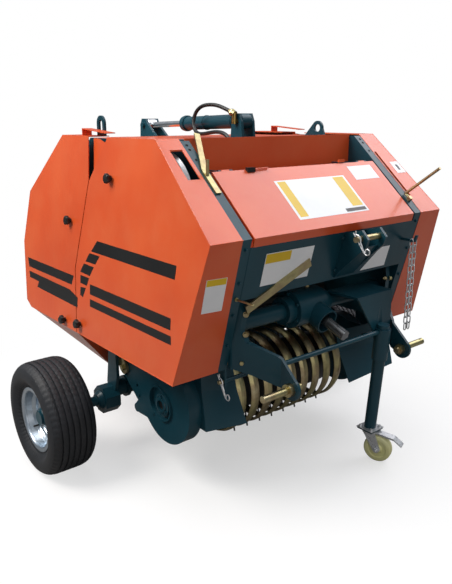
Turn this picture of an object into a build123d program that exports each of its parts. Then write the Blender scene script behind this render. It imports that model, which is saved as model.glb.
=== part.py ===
from build123d import *
import math
import os

# Round baler for a small tractor, standing on its two wheels and its castor jack.
# Millimetres. +Z is up, the hitch end faces -Y, +X is to the right seen from the hitch end.
# A point written (y, z) lies in the side view. Pieces for the right side are mirrored to the left.
# Heights are drawn from a level DATUM_Z below the ground, and put() lowers each finished piece by it.
DATUM_Z = 11.0

# Outline of the side covers
TOP_Z = 1147.0
FOLD_Z = 890.0
FOOT_Z = 473.0
TOP_HALF = 487.0
FOOT_HALF = 572.0
COVER_INNER = 408.0
SHEET = 3.0
REACH = 660.0
SLOPE_TOP_Y = -253.0
FOLD_Y = -545.0
FRONT_FOOT_Y = -433.0
REAR_FOOT_Y = 563.0
REAR_LOW = (609.0, 495.0)
REAR_MID_Z = 723.0
REAR_HIGH = (619.0, 926.0)
REAR_TOP_Y = 352.0

# Parting line between the front covers and the tailgate
GATE_PIVOT = (136.0, 1002.0)
SEAM_TOP_Y = 154.0
SEAM_KINK = (200.0, 697.0)
SEAM_FOOT_Y = 163.0
SEAM_GAP = 5.0
RELIEF_TOP_Y = 29.0
RELIEF_DEPTH = 18.0
RELIEF_ROOM = 8.0

# Openings in the sloping fronts of the side covers: x from and to, y from and to
LEFT_SLOT = (-463.0, -420.0, -374.0, -286.0)
RIGHT_SLOT = (412.0, 424.0, -486.0, -322.0)
SLOT_CUT = 12.0

# Chamber side plates
PLATE_IN = 374.0
PLATE = 6.0
PLATE_DROP = 318.0
PLATE_LIFT = 482.0
PLATE_LEG = 44.0
PLATE_HEEL = (-48.0, 0.0)
FLANGE_INSET = 1.0
PLATE_TOP_INSET = 6.0
GATE_PLATE_INSET = 12.0

# Pins under the feet of the side plates that hold the pickup up on the road
LIFT_PIN = (-421.0, 431.0)
LIFT_PIN_R = 7.0
LIFT_PIN_IN = 284.0
LIFT_EAR_Y = (-433.0, -405.0)
LIFT_EAR_Z = 418.0

# Panels and box between the side plates
PANEL = 4.0
PANEL_FOOT_Z = 702.0
PANEL_LIP = 22.0
BOX_WALL_Y = -235.0
BOX_FLOOR_Z = 800.0
ROOF_Z = 1140.0
BEAM = 60.0
BEAM_Y = -137.0
FEED_FLOOR_Y = (-42.0, 44.0)
FEED_FLOOR_Z = 400.0
FEED_APRON_Z = 322.0

# Lid of the twine box, and its hinge under the upper edge
LID_HALF = 365.0
LID_TOP_Y = -356.0
LID_LIP = 26.0
LID_EDGE = 6.0
LID_HINGE_R = 6.0
LID_LEAF = 16.0
LID_LEAF_ROOT = 1.0
KNUCKLE = 30.0
KNUCKLE_GAP = 2.0
LID_EAR = 10.0
LID_EAR_T = 4.0
KNUCKLES = [-325.0, 295.0]

# Tailgate
RAMP_FRONT = (232.0, 286.0)
RAMP_CORNER_X = 410.0
RAMP_NOSE = 3.0
SKIRT_FRONT_Y = 168.0
SKIRT_HALF = FOOT_HALF - SHEET
GATE_FOOT_GAP = 8.0
EAR = 10.0
EAR_GAP = 6.0
EAR_R = 45.0
EAR_TAIL = 150.0
EAR_SPACER = 60.0
PIVOT_R = 15.0
PIN_HEAD = 6.0
RUN_FIT = 0.1
SEAT = 0.3
PIVOT_EYE_R = 32.0
FLAP_X = (428.0, 464.0)
FLAP_FRONT = (79.0, 1159.0)
FLAP_REAR = (245.0, 1171.0)

# Chamber rollers
CHAMBER = (136.0, 690.0)
ROLLER_RING = 292.0
ROLLER_R = 34.0
ROLLER_RIB = 5.0
ROLLER_RIBS = 8
ROLLER_SHAFT_R = 15.0
ROLLER_WALL = 4.0
ROLLER_WEB = 20.0
ROLLER_SPOKE_R = 4.0
ROLLER_SPOKES = 4
ROLLER_HALF = 362.0
# Name, angle round the chamber from the rear upwards in degrees
ROLLERS = [
    ("starter_roller", 208.0),
    ("front_roller", 183.0),
    ("floor_roller", 262.0),
    ("gate_lower_roller", -62.0),
    ("gate_rear_roller", -20.0),
]

# Pulley inside the left cover, seen through the opening in its slope
PULLEY = (-214.0, 968.0)
PULLEY_R = 148.0
PULLEY_X = 441.0
PULLEY_HALF = 8.0
PULLEY_RIM = 12.0
PULLEY_WEB = 2.5
PULLEY_HUB_R = 26.0
PULLEY_SHAFT_R = 12.0

# Wheels and their arms
WHEEL_Y = 128.0
WHEEL_R = 198.0
WHEEL_Z = DATUM_Z + WHEEL_R
WHEEL_OUT = 784.0
TYRE_W = 165.0
TYRE_WALL = 12.0
TYRE_CROWN = 18.0
TYRE_BEAD = 16.0
TYRE_SHOULDER = 20.0
# Points round the shoulder: in from the side and in from the crown, as shares of the shoulder
SHOULDER_STEPS = [(0.1, 1.6), (0.5, 0.7), (1.2, 0.15), (2.0, 0.0)]
TYRE_LIP = 2.0
RIM_SEAT_R = 101.0
RIM_FLANGE_R = 114.0
RIM_HALF = 64.0
RIM_WALL = 4.0
RIM_WELL_R = 88.0
RIM_STEP = 8.0
HUB_R = 32.0
HUB_IN = 45.0
HUB_OUT = 40.0
AXLE_R = 18.0
AXLE_COLLAR_R = 25.0
AXLE_CAP = 8.0
ARM_BLOCK_X = (455.0, 514.0)
ARM_BLOCK_R = 52.0
ARM_CONE = 16.0
ARM_PLATE_X = (458.0, 470.0)
ARM_PLATE_LINE = [
    (96.0, 240.0),
    (150.0, 262.0),
    (134.0, 352.0),
    (126.0, 432.0),
    (78.0, 432.0),
    (76.0, 300.0),
]
CROSS_TUBE_R = 30.0
CROSS_TUBE_Z = 236.0
CAM_R = 40.0
CAM_X = (403.0, 415.0)
AXLE_BEAM_Y = 128.0
AXLE_BEAM_FOOT_Z = 258.0

# Pickup
HUB = (-196.0, 296.0)
FAN_IN = 440.0
FAN = 7.0
FAN_R = 142.0
FAN_PIVOT = (47.0, 347.0)
FAN_PIVOT_R = 34.0
FAN_PIN_R = 12.0
FAN_COLLAR_R = 18.0
FAN_LUG_FOOT = 18.0
FAN_LUG_R = 16.0
FAN_HOLE = (-28.0, 300.0)
FAN_HOLE_R = 7.0
FAN_PLUG = (-122.0, 236.0)
FAN_PLUG_R = 13.0
FAN_PLUG_T = 3.0
HANGER_R = 24.0
HANGER_TOP = (104.0, 420.0)
HANGER_TIE_Y = (92.0, 120.0)
HANGER_TIE_Z = (370.0, 432.0)
HANGER_BOLT_R = 11.0
HANGER_BOLT = 8.0
BAND_R = 159.0
BAND_T = 3.0
BAND_RISE = 5.0
BAND_FLAT = 10.0
BAND_W = 36.0
BAND_COUNT = 9
BAND_HALF = 256.0
BAND_BAR_R = 10.0
# Ends of the bands: angle on the arc, straight run, its turn from the radius, and how far
# outside the edge of the band the centre of the bar lies
BAND_ENDS = [
    (90.0, 106.0, -90.0, -BAND_BAR_R),
    (300.0, 112.0, 90.0, BAND_BAR_R - BAND_T),
]
DRUM_IN = 395.0
DRUM_R = 141.0
DRUM_WALL = 3.0
DRUM_EYE_R = 24.0
# Front shields as (y, z) down the outer and the inner end of the left one
SHIELD_OUTER = [(-334.0, 425.0), (-338.0, 374.0), (-360.0, 240.0)]
SHIELD_INNER = [(-318.0, 425.0), (-342.0, 342.0), (-396.0, 240.0)]
SHIELD_T = 3.0
SHIELD_CHEEK_Y = -250.0
GUARD_OUT = 530.0
GUARD_OUTER = [(-352.0, 425.0), (-360.0, 352.0), (-388.0, 246.0)]
GUARD_FLANGE_Y = -190.0
REEL = (-190.0, 288.0)
REEL_TIP_R = 168.0
REEL_DRUM_R = 100.0
REEL_DRUM_WALL = 3.0
REEL_HALF = 256.0
REEL_ROWS = 4
TINE_R = 3.0
TINE_ROOT = 2.0
TINE_LEAN_DEG = 14.0
REEL_STUB_R = 15.0
REEL_STUB_OUT = 6.0
BEARING_AT = (-178.0, 289.0)
BEARING_R = 49.0
BEARING_HALF = 12.0
BEARING_TILT = 22.0
BEARING_LAP = 6.0
BEARING_RIM = 5.0
BEARING_RIM_H = 8.0
BEARING_BOSS_R = 30.0

# Gearbox and drive shaft
TUBE = (-400.0, 598.0)
TUBE_R = 28.0
GEARBOX_X = -20.0
GEARBOX_R = 62.0
GEARBOX_HALF = 66.0
GEARBOX_COLLAR = 34.0
GEARBOX_COLLAR_R = 44.0
PTO_PITCH = 20.0
PTO_BELL_R = 42.0
PTO_BELL_WALL = 5.0
PTO_BELL_FROM = 40.0
PTO_BELL_MOUTH = 70.0
PTO_BELL_TO = 104.0
PTO_R = 17.45
PTO_END = 186.0
PTO_SPLINES = 6
PTO_SPLINE = 76.0
PTO_GROOVE = (5.0, 8.0)

# Hitch plates, as (y, z) round the side view behind the rounded nose
PIN_X = 268.0
PIN = (-606.0, 438.0)
PIN_R = 11.0
PIN_TIP_X = 384.0
PIN_BACK = 34.0
PIN_COLLAR_R = 20.0
PIN_COLLAR = 16.0
PIN_NUT = 18.0
PIN_HOLE_R = 4.5
PIN_HOLE_END = 16.0
HITCH_PLATE = 10.0
HITCH_BEND_Y = -565.0
HITCH_REAR = (366.0, -440.0)
HITCH_FOOT = 12.0
HITCH_NOSE_R = 34.0
HITCH_LINE = [
    (-438.0, 690.0),
    (-465.0, 690.0),
    (-476.0, 655.0),
    (-470.0, 600.0),
    (-482.0, 566.0),
    (-556.0, 528.0),
    (-578.0, 508.0),
    (-631.5, 460.0),
    (-623.0, 408.0),
    (-561.0, 432.0),
    (-499.0, 462.0),
    (-438.0, 483.0),
]
ROD = (-566.0, 505.0)
ROD_R = 8.0

# Clevis for the top link
CLEVIS_X = (15.0, 111.0)
CLEVIS_PIN = (-604.0, 852.0)
CLEVIS_PIN_R = 9.5
CLEVIS_PIN_ENDS = (26.0, 14.0)
CLEVIS_FIT = 0.05
CLEVIS_PLATE = 10.0
CLEVIS_R = 26.0
CLEVIS_HEAD = 8.0
CLEVIS_WEB = 7.0
CLEVIS_FOOT = 10.0
CLEVIS_NECK = (-596.0, 822.0)

# Castor jack
JACK_X = 205.0
JACK_FOOT_Y = -542.0
JACK_LEAN = 4.0
JACK_R = 21.0
JACK_SLEEVE_WALL = 6.0
JACK_SLEEVE = (402.0, 516.0)
JACK_TOP_Z = 530.0
GUSSET = 8.0
GUSSET_SPAN = 125.0
GUSSET_TOP_Z = 640.0
GUSSET_FOOT_Z = 420.0
GUSSET_SIDE_Z = 500.0
GUSSET_SETBACK = 10.4
CASTOR_H = 132.0
CASTOR_R = 50.0
CASTOR_Z = DATUM_Z + CASTOR_R
CASTOR_W = 32.0
CASTOR_TRAIL = 34.0
CASTOR_TURN = 20.0
CASTOR_PLATE = 5.0
CASTOR_PAD = 32.0
CASTOR_CROWN_R = 24.0
CASTOR_CROWN = 8.0
KINGPIN_R = 7.0
KINGPIN = 14.0
CHEEK = 4.0
CHEEK_GAP = 2.0
CASTOR_PIN_R = 6.0
CASTOR_HUB_R = 14.0
PEDAL_REACH = 120.2
PEDAL_HALF = 15.0
PEDAL_DROP = 38.0

# Gate cylinder
CYL_X = -60.0
CYL_BASE = (-137.0, 1195.0)
CYL_EYE = (443.0, 1176.0)
CYL_R = 24.0
CYL_LENGTH = 336.0
CYL_NECK = 36.0
CYL_NECK_R = 18.0
CYL_GLAND = 22.0
CYL_GLAND_RIM = 3.0
CYL_BORE_FROM = 80.0
CYL_ROD_R = 11.0
CYL_ROD_LENGTH = 330.0
CYL_PIN_R = 10.0
CYL_PIN_END = 10.0
CYL_BOSS_R = 25.0
CYL_BOSS_HALF = 20.0
CYL_LUG = 10.0
CYL_LUG_FOOT = 30.0
CYL_LUG_TOP = 14.0
CYL_LUG_PAD = 6.0
CYL_EYE_SLOT = 9.0
CYL_EYE_ROOM = 0.9

# Knobs on the covers
KNOB_R = 17.0
KNOB_T = 16.0
KNOB_STEM = 6.0
KNOB_LOBES = 6
FRONT_KNOBS = [(-12.0, 1020.0), (142.0, 510.0)]
GATE_KNOBS = [(256.0, 856.0), (258.0, 497.0)]

# Lifting eyes on the roof and on the tailgate
EYE_T = 8.0
ROOF_EYE_X = 316.0
ROOF_EYE = (-127.0, 1168.0)
ROOF_EYE_R = 26.0
ROOF_EYE_HOLE_R = 14.0
ROOF_EYE_FOOT_Y = (-164.0, -64.0)
GATE_EYE_X = 416.0
GATE_EYE_Y = 185.0
GATE_EYE_R = 26.0
GATE_EYE_HOLE_R = 12.0
GATE_EYE_TOP_Z = 1213.0
GATE_EYE_HOLE_Z = 1168.0

# Zinc levers: width, thickness, and the points each bar runs through
LEVER_W = 18.0
LEVER_T = 5.0
BRACE_W = 30.0
BRACE_FROM = (-345.0, 668.0)
BRACE_TO = (-115.0, 785.0)
LATCH_X = 391.0
LATCH_FOOT_Y = -418.0
LATCH_BEND_Y = -352.0
LATCH_TIP = (340.0, -251.0, 1160.0)
LATCH_BOLT_R = 5.0
LATCH_BOLT = 44.0
LATCH_BOLT_Y = -366.0
PROP_R = 5.0
PROP_FOOT_Y = -500.0
PROP_BEND = (391.0, -486.0, 950.0)
PROP_TIP = (391.0, -613.0, 1045.0)
PROP_BLOCK = 14.0

# Chain on its hook: two strands of square-cut links, each turned a quarter
HOOK_Z = 806.0
HOOK_X = 338.0
HOOK_HALF = 4.0
HOOK_BAR = 2.5
HOOK_REACH = 56.0
HOOK_T = 8.0
CHAIN_Y = -570.0
CHAIN_STRANDS = (-9.5, 9.5)
CHAIN_WIRE = 4.0
CHAIN_PITCH = 23.0
CHAIN_WIDTH = 16.0
CHAIN_CORNER = 4.5
CHAIN_LINKS = 14

# Hydraulic hose
HOSE_R = 6.5
HOSE_ROUTE = [
    (-100.0, -118.0, 1226.0),
    (-101.0, -76.0, 1241.0),
    (-103.0, -28.0, 1250.0),
    (-108.0, 27.0, 1247.0),
    (-114.0, 56.0, 1227.0),
    (-120.0, 65.0, 1195.0),
    (-126.0, 50.0, 1164.0),
    (-132.0, 20.0, 1151.0),
    (-139.0, -22.0, 1152.0),
    (-146.0, -64.0, 1157.0),
    (-151.0, -108.0, 1161.0),
    (-155.0, -150.0, 1158.0),
    (-157.0, -184.0, 1142.0),
    (-158.0, -201.0, 1108.0),
]
HOSE_BEND_SHARE = 0.45
HOSE_FIT_R = 9.0
HOSE_FIT = 24.0
HOSE_RISE = 4.0
HOSE_BLOCK = 12.0
HOSE_BLOCK_Z = (-14.0, 2.0)

NODES = {}


def put(name, shape):
    """Keeps a finished piece under its own name, lowered so that the ground is at zero."""
    NODES[name] = Pos(0, 0, -DATUM_Z) * shape


def mirrored(shape):
    """The shape and its mirror image on the other side of the middle."""
    return Compound([shape, mirror(shape, about=Plane.YZ)])


def prism(points, x_from, x_to):
    """Side view outline of (y, z) points, carried from x_from to x_to."""
    face = make_face(Polyline(*points, close=True))
    return extrude(Plane.YZ.offset(x_from) * face, x_to - x_from)


def rod_x(radius, x_from, x_to, at):
    """Round bar along X at a (y, z) point."""
    return extrude(Plane.YZ.offset(x_from) * Pos(*at) * Circle(radius), x_to - x_from)


def block(x_span, y_span, z_span):
    """Box between three pairs of coordinates."""
    size = [span[1] - span[0] for span in (x_span, y_span, z_span)]
    middle = [(span[1] + span[0]) / 2 for span in (x_span, y_span, z_span)]
    return Pos(*middle) * Box(*size)


def rod_between(radius, start, end):
    """Round bar from one point to another."""
    line = Vector(*end) - Vector(*start)
    plane = Plane(origin=start, z_dir=line)
    return extrude(plane * Circle(radius), line.length)


def flat_between(width, thick, start, end, face_dir):
    """Flat bar from one point to another, lying with its face towards face_dir."""
    line = Vector(*end) - Vector(*start)
    plane = Plane(origin=start, x_dir=face_dir, z_dir=line)
    return extrude(plane * Rectangle(thick, width), line.length)


def inset(points, distances):
    """Outline with edge i moved inwards by distances[i]; edge i runs from point i to the next."""
    count = len(points)
    area = sum(
        points[i][0] * points[(i + 1) % count][1] - points[(i + 1) % count][0] * points[i][1]
        for i in range(count)
    )
    side = 1.0 if area > 0 else -1.0
    lines = []
    for i in range(count):
        (y0, z0), (y1, z1) = points[i], points[(i + 1) % count]
        length = math.hypot(y1 - y0, z1 - z0)
        ny, nz = -side * (z1 - z0) / length, side * (y1 - y0) / length
        lines.append((ny, nz, ny * y0 + nz * z0 + distances[i]))
    moved = []
    for i in range(count):
        a, b, c = lines[i - 1]
        d, e, f = lines[i]
        det = a * e - b * d
        moved.append(((c * e - b * f) / det, (a * f - c * d) / det))
    return moved


def lean_room(depth):
    """Space inside the leaning outer face of a right-hand cover, depth behind it."""
    low, high = 0.0, 2 * TOP_Z
    outer = [side_face_x(z, depth) for z in (low, high)]
    face = make_face(Polyline((0, low), (outer[0], low), (outer[1], high), (0, high), close=True))
    return extrude(Plane.XZ.offset(-2 * REACH) * face, 4 * REACH)


def side_face_x(z, depth=0.0):
    """Distance from the middle to a face depth behind the right cover's outer one, at height z."""
    slope = (FOOT_HALF - TOP_HALF) / (TOP_Z - FOOT_Z)
    return TOP_HALF + (TOP_Z - z) * slope - depth * math.sqrt(1 + slope**2)


def pan(outline, walls):
    """Sheet pan of a right-hand cover; walls[i] is the inset of edge i, negative where it is open."""
    outer = prism(outline, COVER_INNER, 2 * FOOT_HALF) & lean_room(0)
    inner = prism(inset(outline, walls), COVER_INNER - SHEET, 2 * FOOT_HALF) & lean_room(SHEET)
    return outer - inner


def about_x(shape, degrees, at):
    """Shape turned about the X axis through a (y, z) point."""
    y, z = at
    return Pos(0, y, z) * Rot(degrees, 0, 0) * Pos(0, -y, -z) * shape


def ring_point(centre, radius, degrees):
    """Point at an angle round a centre in the side view; 0 is to the rear, 90 is up."""
    angle = math.radians(degrees)
    return (centre[0] + radius * math.cos(angle), centre[1] + radius * math.sin(angle))


def revolve_x(face, x, at):
    """Solid turned round an X axis through a (y, z) point from a face of (along, radius)."""
    turned = revolve(Plane.XZ * face, axis=Axis.X)
    return Pos(x, *at) * turned


# Side view outlines
pivot_y, pivot_z = GATE_PIVOT
HALF_GAP = SEAM_GAP / 2
SLOPE_TOP = (SLOPE_TOP_Y, TOP_Z)
FOLD = (FOLD_Y, FOLD_Z)
FRONT_FOOT = (FRONT_FOOT_Y, FOOT_Z)
REAR_MID = (REACH, REAR_MID_Z)
FRONT_OUTLINE = [
    (RELIEF_TOP_Y - HALF_GAP, TOP_Z),
    SLOPE_TOP,
    FOLD,
    FRONT_FOOT,
    (SEAM_FOOT_Y - HALF_GAP, FOOT_Z),
    (SEAM_KINK[0] - HALF_GAP, SEAM_KINK[1]),
    (pivot_y - HALF_GAP, pivot_z),
]
GATE_OUTLINE = [
    (SEAM_TOP_Y + HALF_GAP, TOP_Z),
    (pivot_y + HALF_GAP, pivot_z),
    (SEAM_KINK[0] + HALF_GAP, SEAM_KINK[1]),
    (SEAM_FOOT_Y + HALF_GAP, FOOT_Z),
    (REAR_FOOT_Y, FOOT_Z),
    REAR_LOW,
    REAR_MID,
    REAR_HIGH,
    (REAR_TOP_Y, TOP_Z),
]
OPEN = -20.0


def gate_line(depth):
    """Outline of the tailgate with its closed edges moved inwards."""
    return inset(GATE_OUTLINE, [0, 0, 0, 0] + [depth] * 5)


def slope_z(y):
    """Height of the sloping front face above a given y."""
    share = (y - FOLD_Y) / (SLOPE_TOP_Y - FOLD_Y)
    return FOLD_Z + share * (TOP_Z - FOLD_Z)


def front_y(z):
    """Place of the lower front face at a given height."""
    share = (z - FOOT_Z) / (FOLD_Z - FOOT_Z)
    return FRONT_FOOT_Y + share * (FOLD_Y - FRONT_FOOT_Y)


def cover_slot(x_in, x_out, y_low, y_high):
    """Cutter for an opening in the slope of a side cover."""
    line = [
        (y_low, slope_z(y_low) - SLOT_CUT),
        (y_high, slope_z(y_high) - SLOT_CUT),
        (y_high, slope_z(y_high) + SLOT_CUT),
        (y_low, slope_z(y_low) + SLOT_CUT),
    ]
    return prism(line, x_in, x_out)


def make_front_covers():
    """Sheet covers beside the chamber, each with a recess that the gate's edge turns into."""
    cover = pan(FRONT_OUTLINE, [SHEET, SHEET, SHEET, OPEN, OPEN, OPEN, OPEN])
    radius = math.hypot(SEAM_TOP_Y - pivot_y, TOP_Z - pivot_z) - RELIEF_ROOM
    low, high = FRONT_OUTLINE[6], FRONT_OUTLINE[0]
    corner = prism([low, high, (SEAM_TOP_Y - HALF_GAP, TOP_Z)], COVER_INNER, 2 * FOOT_HALF)
    recess = corner & rod_x(radius, 0, 2 * FOOT_HALF, GATE_PIVOT)
    plate = (recess & lean_room(RELIEF_DEPTH)) - lean_room(RELIEF_DEPTH + SHEET)
    step_line = [low, high, (high[0] - SHEET, high[1]), (low[0] - SHEET, low[1])]
    step = prism(step_line, COVER_INNER, 2 * FOOT_HALF) & lean_room(0)
    step = step - lean_room(RELIEF_DEPTH + SHEET)
    right = cover + plate + step
    left = mirror(right, about=Plane.YZ)
    put("front_covers", Compound([left - cover_slot(*LEFT_SLOT), right - cover_slot(*RIGHT_SLOT)]))


def make_gate_covers():
    """Sheet covers of the tailgate, closed at top and rear, and the flaps over the parting."""
    put("gate_covers", mirrored(pan(GATE_OUTLINE, [OPEN] * 4 + [SHEET] * 5)))
    flap = [
        FLAP_FRONT,
        FLAP_REAR,
        (FLAP_REAR[0], TOP_Z),
        (FLAP_REAR[0] - SHEET, TOP_Z),
        (FLAP_REAR[0] - SHEET, FLAP_REAR[1] - SHEET),
        (FLAP_FRONT[0], FLAP_FRONT[1] - SHEET),
    ]
    put("gate_top_flaps", mirrored(prism(flap, *FLAP_X)))


def make_side_plates():
    """Chamber side plates with their flanges, the gate's pivot pins and the pickup's pivots."""
    insets = [PLATE_TOP_INSET, FLANGE_INSET, FLANGE_INSET, 0, 0, 0, 0]
    outline = inset(FRONT_OUTLINE, insets)
    foot_y, foot_z = outline[3]
    lower = [
        (foot_y + PLATE_LEG, foot_z),
        (foot_y + PLATE_LEG, PLATE_LIFT),
        (PLATE_HEEL[0], PLATE_LIFT),
        (PLATE_HEEL[1], PLATE_DROP),
        (SEAM_FOOT_Y - HALF_GAP, PLATE_DROP),
    ]
    side = prism(outline[:4] + lower + outline[4:], PLATE_IN, PLATE_IN + PLATE)
    side = side + rod_x(PIVOT_EYE_R, PLATE_IN, PLATE_IN + PLATE, GATE_PIVOT)
    inner = inset(outline[:4], [0, PLATE, PLATE, 0])
    flange_line = [outline[1], outline[2], outline[3], inner[3], inner[2], inner[1]]
    side = side + prism(flange_line, PLATE_IN, COVER_INNER - RUN_FIT)
    pin_end = PLATE_IN + PLATE + EAR_GAP + EAR + SEAT
    side = side + rod_x(PIVOT_R, PLATE_IN, pin_end, GATE_PIVOT)
    side = side + rod_x(PIVOT_R + PIN_HEAD, pin_end, pin_end + PIN_HEAD, GATE_PIVOT)
    side = side + rod_x(FAN_PIN_R, PLATE_IN, hanger_in(), FAN_PIVOT)
    side = side + rod_x(FAN_COLLAR_R, PLATE_IN, FAN_IN - SEAT, FAN_PIVOT)
    side = side + block((PLATE_IN, PLATE_IN + PLATE), LIFT_EAR_Y, (LIFT_EAR_Z, foot_z + PLATE))
    side = side + rod_x(LIFT_PIN_R, LIFT_PIN_IN, PLATE_IN + PLATE, LIFT_PIN)
    left = mirror(side, about=Plane.YZ)
    stub = rod_x(PULLEY_SHAFT_R, -PULLEY_X - PULLEY_HALF - SEAT, -PLATE_IN - PLATE, PULLEY)
    collar = rod_x(
        PULLEY_SHAFT_R + PIN_HEAD, -PULLEY_X + PULLEY_HALF + SEAT, -PLATE_IN - PLATE, PULLEY
    )
    nut_x = -PULLEY_X - PULLEY_HALF - SEAT
    nut = rod_x(PULLEY_SHAFT_R + PIN_HEAD, nut_x - PIN_HEAD, nut_x, PULLEY)
    put("chamber_side_plates", Compound([side, left + stub + collar + nut]))


def make_pulley():
    """Grooved pulley on its stub inside the left cover."""
    line = [
        (-PULLEY_HALF, PULLEY_SHAFT_R + RUN_FIT),
        (-PULLEY_HALF, PULLEY_HUB_R),
        (-PULLEY_WEB, PULLEY_HUB_R),
        (-PULLEY_WEB, PULLEY_R - PULLEY_RIM),
        (-PULLEY_HALF, PULLEY_R - PULLEY_RIM),
        (-PULLEY_HALF, PULLEY_R),
        (0, PULLEY_R - PULLEY_RIM / 2),
        (PULLEY_HALF, PULLEY_R),
        (PULLEY_HALF, PULLEY_R - PULLEY_RIM),
        (PULLEY_WEB, PULLEY_R - PULLEY_RIM),
        (PULLEY_WEB, PULLEY_HUB_R),
        (PULLEY_HALF, PULLEY_HUB_R),
        (PULLEY_HALF, PULLEY_SHAFT_R + RUN_FIT),
    ]
    put("drive_pulley", revolve_x(make_face(Polyline(*line, close=True)), -PULLEY_X, PULLEY))


def make_front_panel():
    """Panel under the lid, between the side plates, with a lip turned back at its foot."""
    foot = (front_y(PANEL_FOOT_Z), PANEL_FOOT_Z)
    head_z = FOLD_Z - LID_LIP
    head = (front_y(head_z), head_z)
    line = [head, foot, (foot[0] + PANEL, foot[1]), (head[0] + PANEL, head[1])]
    panel = prism(line, -PLATE_IN, PLATE_IN)
    lip = block(
        (-PLATE_IN, PLATE_IN),
        (foot[0], foot[0] + PANEL_LIP),
        (PANEL_FOOT_Z, PANEL_FOOT_Z + PANEL),
    )
    put("front_panel", panel + lip)


def make_twine_box():
    """Open box for the twine, and the floor under the chamber's mouth with its apron."""
    span = (-PLATE_IN, PLATE_IN)
    floor_front = front_y(BOX_FLOOR_Z) + PANEL
    wall = block(span, (BOX_WALL_Y, BOX_WALL_Y + SHEET), (BOX_FLOOR_Z, TOP_Z))
    floor = block(
        span, (floor_front + SHEET, BOX_WALL_Y), (BOX_FLOOR_Z, BOX_FLOOR_Z + SHEET)
    )
    put("twine_box", wall + floor)
    feed = block(span, FEED_FLOOR_Y, (FEED_FLOOR_Z, FEED_FLOOR_Z + SHEET))
    apron_y = (FEED_FLOOR_Y[1] - SHEET, FEED_FLOOR_Y[1])
    put("feed_floor", feed + block(span, apron_y, (FEED_APRON_Z, FEED_FLOOR_Z + SHEET)))


def slope_point(at, along, out):
    """Point moved up the slope by along and outwards from it by out, as (y, z)."""
    tilt = math.atan2(TOP_Z - FOLD_Z, SLOPE_TOP_Y - FOLD_Y)
    y = at[0] + along * math.cos(tilt) - out * math.sin(tilt)
    z = at[1] + along * math.sin(tilt) + out * math.cos(tilt)
    return (y, z)


def lid_hinge():
    """Place of the lid's hinge, under the sheet and just behind its upper edge, as (y, z)."""
    edge = (LID_TOP_Y, slope_z(LID_TOP_Y))
    return slope_point(edge, LID_EDGE, -(SHEET + LID_HINGE_R + SEAT))


def make_lid():
    """Sloping lid of the twine box with its front lip, its knuckles, and the ears behind it."""
    top = (LID_TOP_Y, slope_z(LID_TOP_Y))
    lip = (front_y(FOLD_Z - LID_LIP), FOLD_Z - LID_LIP)
    skin = inset([top, FOLD, lip, (LID_TOP_Y, lip[1])], [SHEET, SHEET, 0, 0])
    under = slope_point(top, 0, -SHEET)
    lid = prism([top, FOLD, lip, (lip[0] + SHEET, lip[1]), skin[1], under], -LID_HALF, LID_HALF)
    hinge = lid_hinge()
    root = LID_HINGE_R + SEAT + LID_LEAF_ROOT
    leaf_line = [
        slope_point(hinge, -LID_EDGE - LID_LEAF, root),
        slope_point(hinge, -LID_EDGE - 2 * LID_LEAF_ROOT, root),
        slope_point(hinge, 0, LID_HINGE_R - LID_LEAF_ROOT),
        slope_point(hinge, 0, 0),
        slope_point(hinge, -LID_EDGE - LID_LEAF, root - 2 * SHEET),
    ]
    ears = None
    for x in KNUCKLES:
        lid = lid + rod_x(LID_HINGE_R, x, x + KNUCKLE, hinge)
        lid = lid + prism(leaf_line, x, x + KNUCKLE)
        for start in (x - KNUCKLE_GAP - LID_EAR, x + KNUCKLE + KNUCKLE_GAP):
            ear = rod_x(LID_HINGE_R, start, start + LID_EAR, hinge)
            low = hinge[1] - LID_HINGE_R
            arm = block((start, start + LID_EAR), (hinge[0], BOX_WALL_Y), (low, low + LID_EAR_T))
            ears = ear + arm if ears is None else ears + ear + arm
    put("twine_lid", lid)
    put("lid_hinge_ears", ears)


def make_roof():
    """Roof sheet over the front of the chamber and the beam that carries the cylinder."""
    span = (-PLATE_IN, PLATE_IN)
    beam_front, beam_rear = BEAM_Y - BEAM / 2, BEAM_Y + BEAM / 2
    roof = block(span, (beam_rear, RELIEF_TOP_Y - SEAM_GAP), (ROOF_Z - SHEET, ROOF_Z))
    put("roof_sheet", roof)
    put("top_beam", block(span, (beam_front, beam_rear), (ROOF_Z - BEAM, ROOF_Z)))


def make_gate_frame():
    """Side plates of the tailgate with the hinge ears that turn on the pivot pins."""
    line = gate_line(GATE_PLATE_INSET)
    foot = [
        (SEAM_FOOT_Y + HALF_GAP + GATE_FOOT_GAP, FOOT_Z),
        RAMP_FRONT,
        (REAR_FOOT_Y, FOOT_Z),
    ]
    plate = prism(line[:3] + foot + line[5:], PLATE_IN, PLATE_IN + PLATE)
    room = rod_x(PIVOT_EYE_R + SEAM_GAP, PLATE_IN, PLATE_IN + PLATE, GATE_PIVOT)
    ear_in = PLATE_IN + PLATE + EAR_GAP
    tail_y = pivot_y + EAR_TAIL
    height = (pivot_z - EAR_R, pivot_z + EAR_R)
    ear = rod_x(EAR_R, ear_in, ear_in + EAR, GATE_PIVOT)
    ear = ear + block((ear_in, ear_in + EAR), (pivot_y, tail_y), height)
    ear = ear + block((PLATE_IN, ear_in + EAR), (tail_y - EAR_SPACER, tail_y), height)
    bore = rod_x(PIVOT_R + RUN_FIT, ear_in, ear_in + EAR, GATE_PIVOT)
    put("gate_side_plates", mirrored(plate - room + ear - bore))


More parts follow.
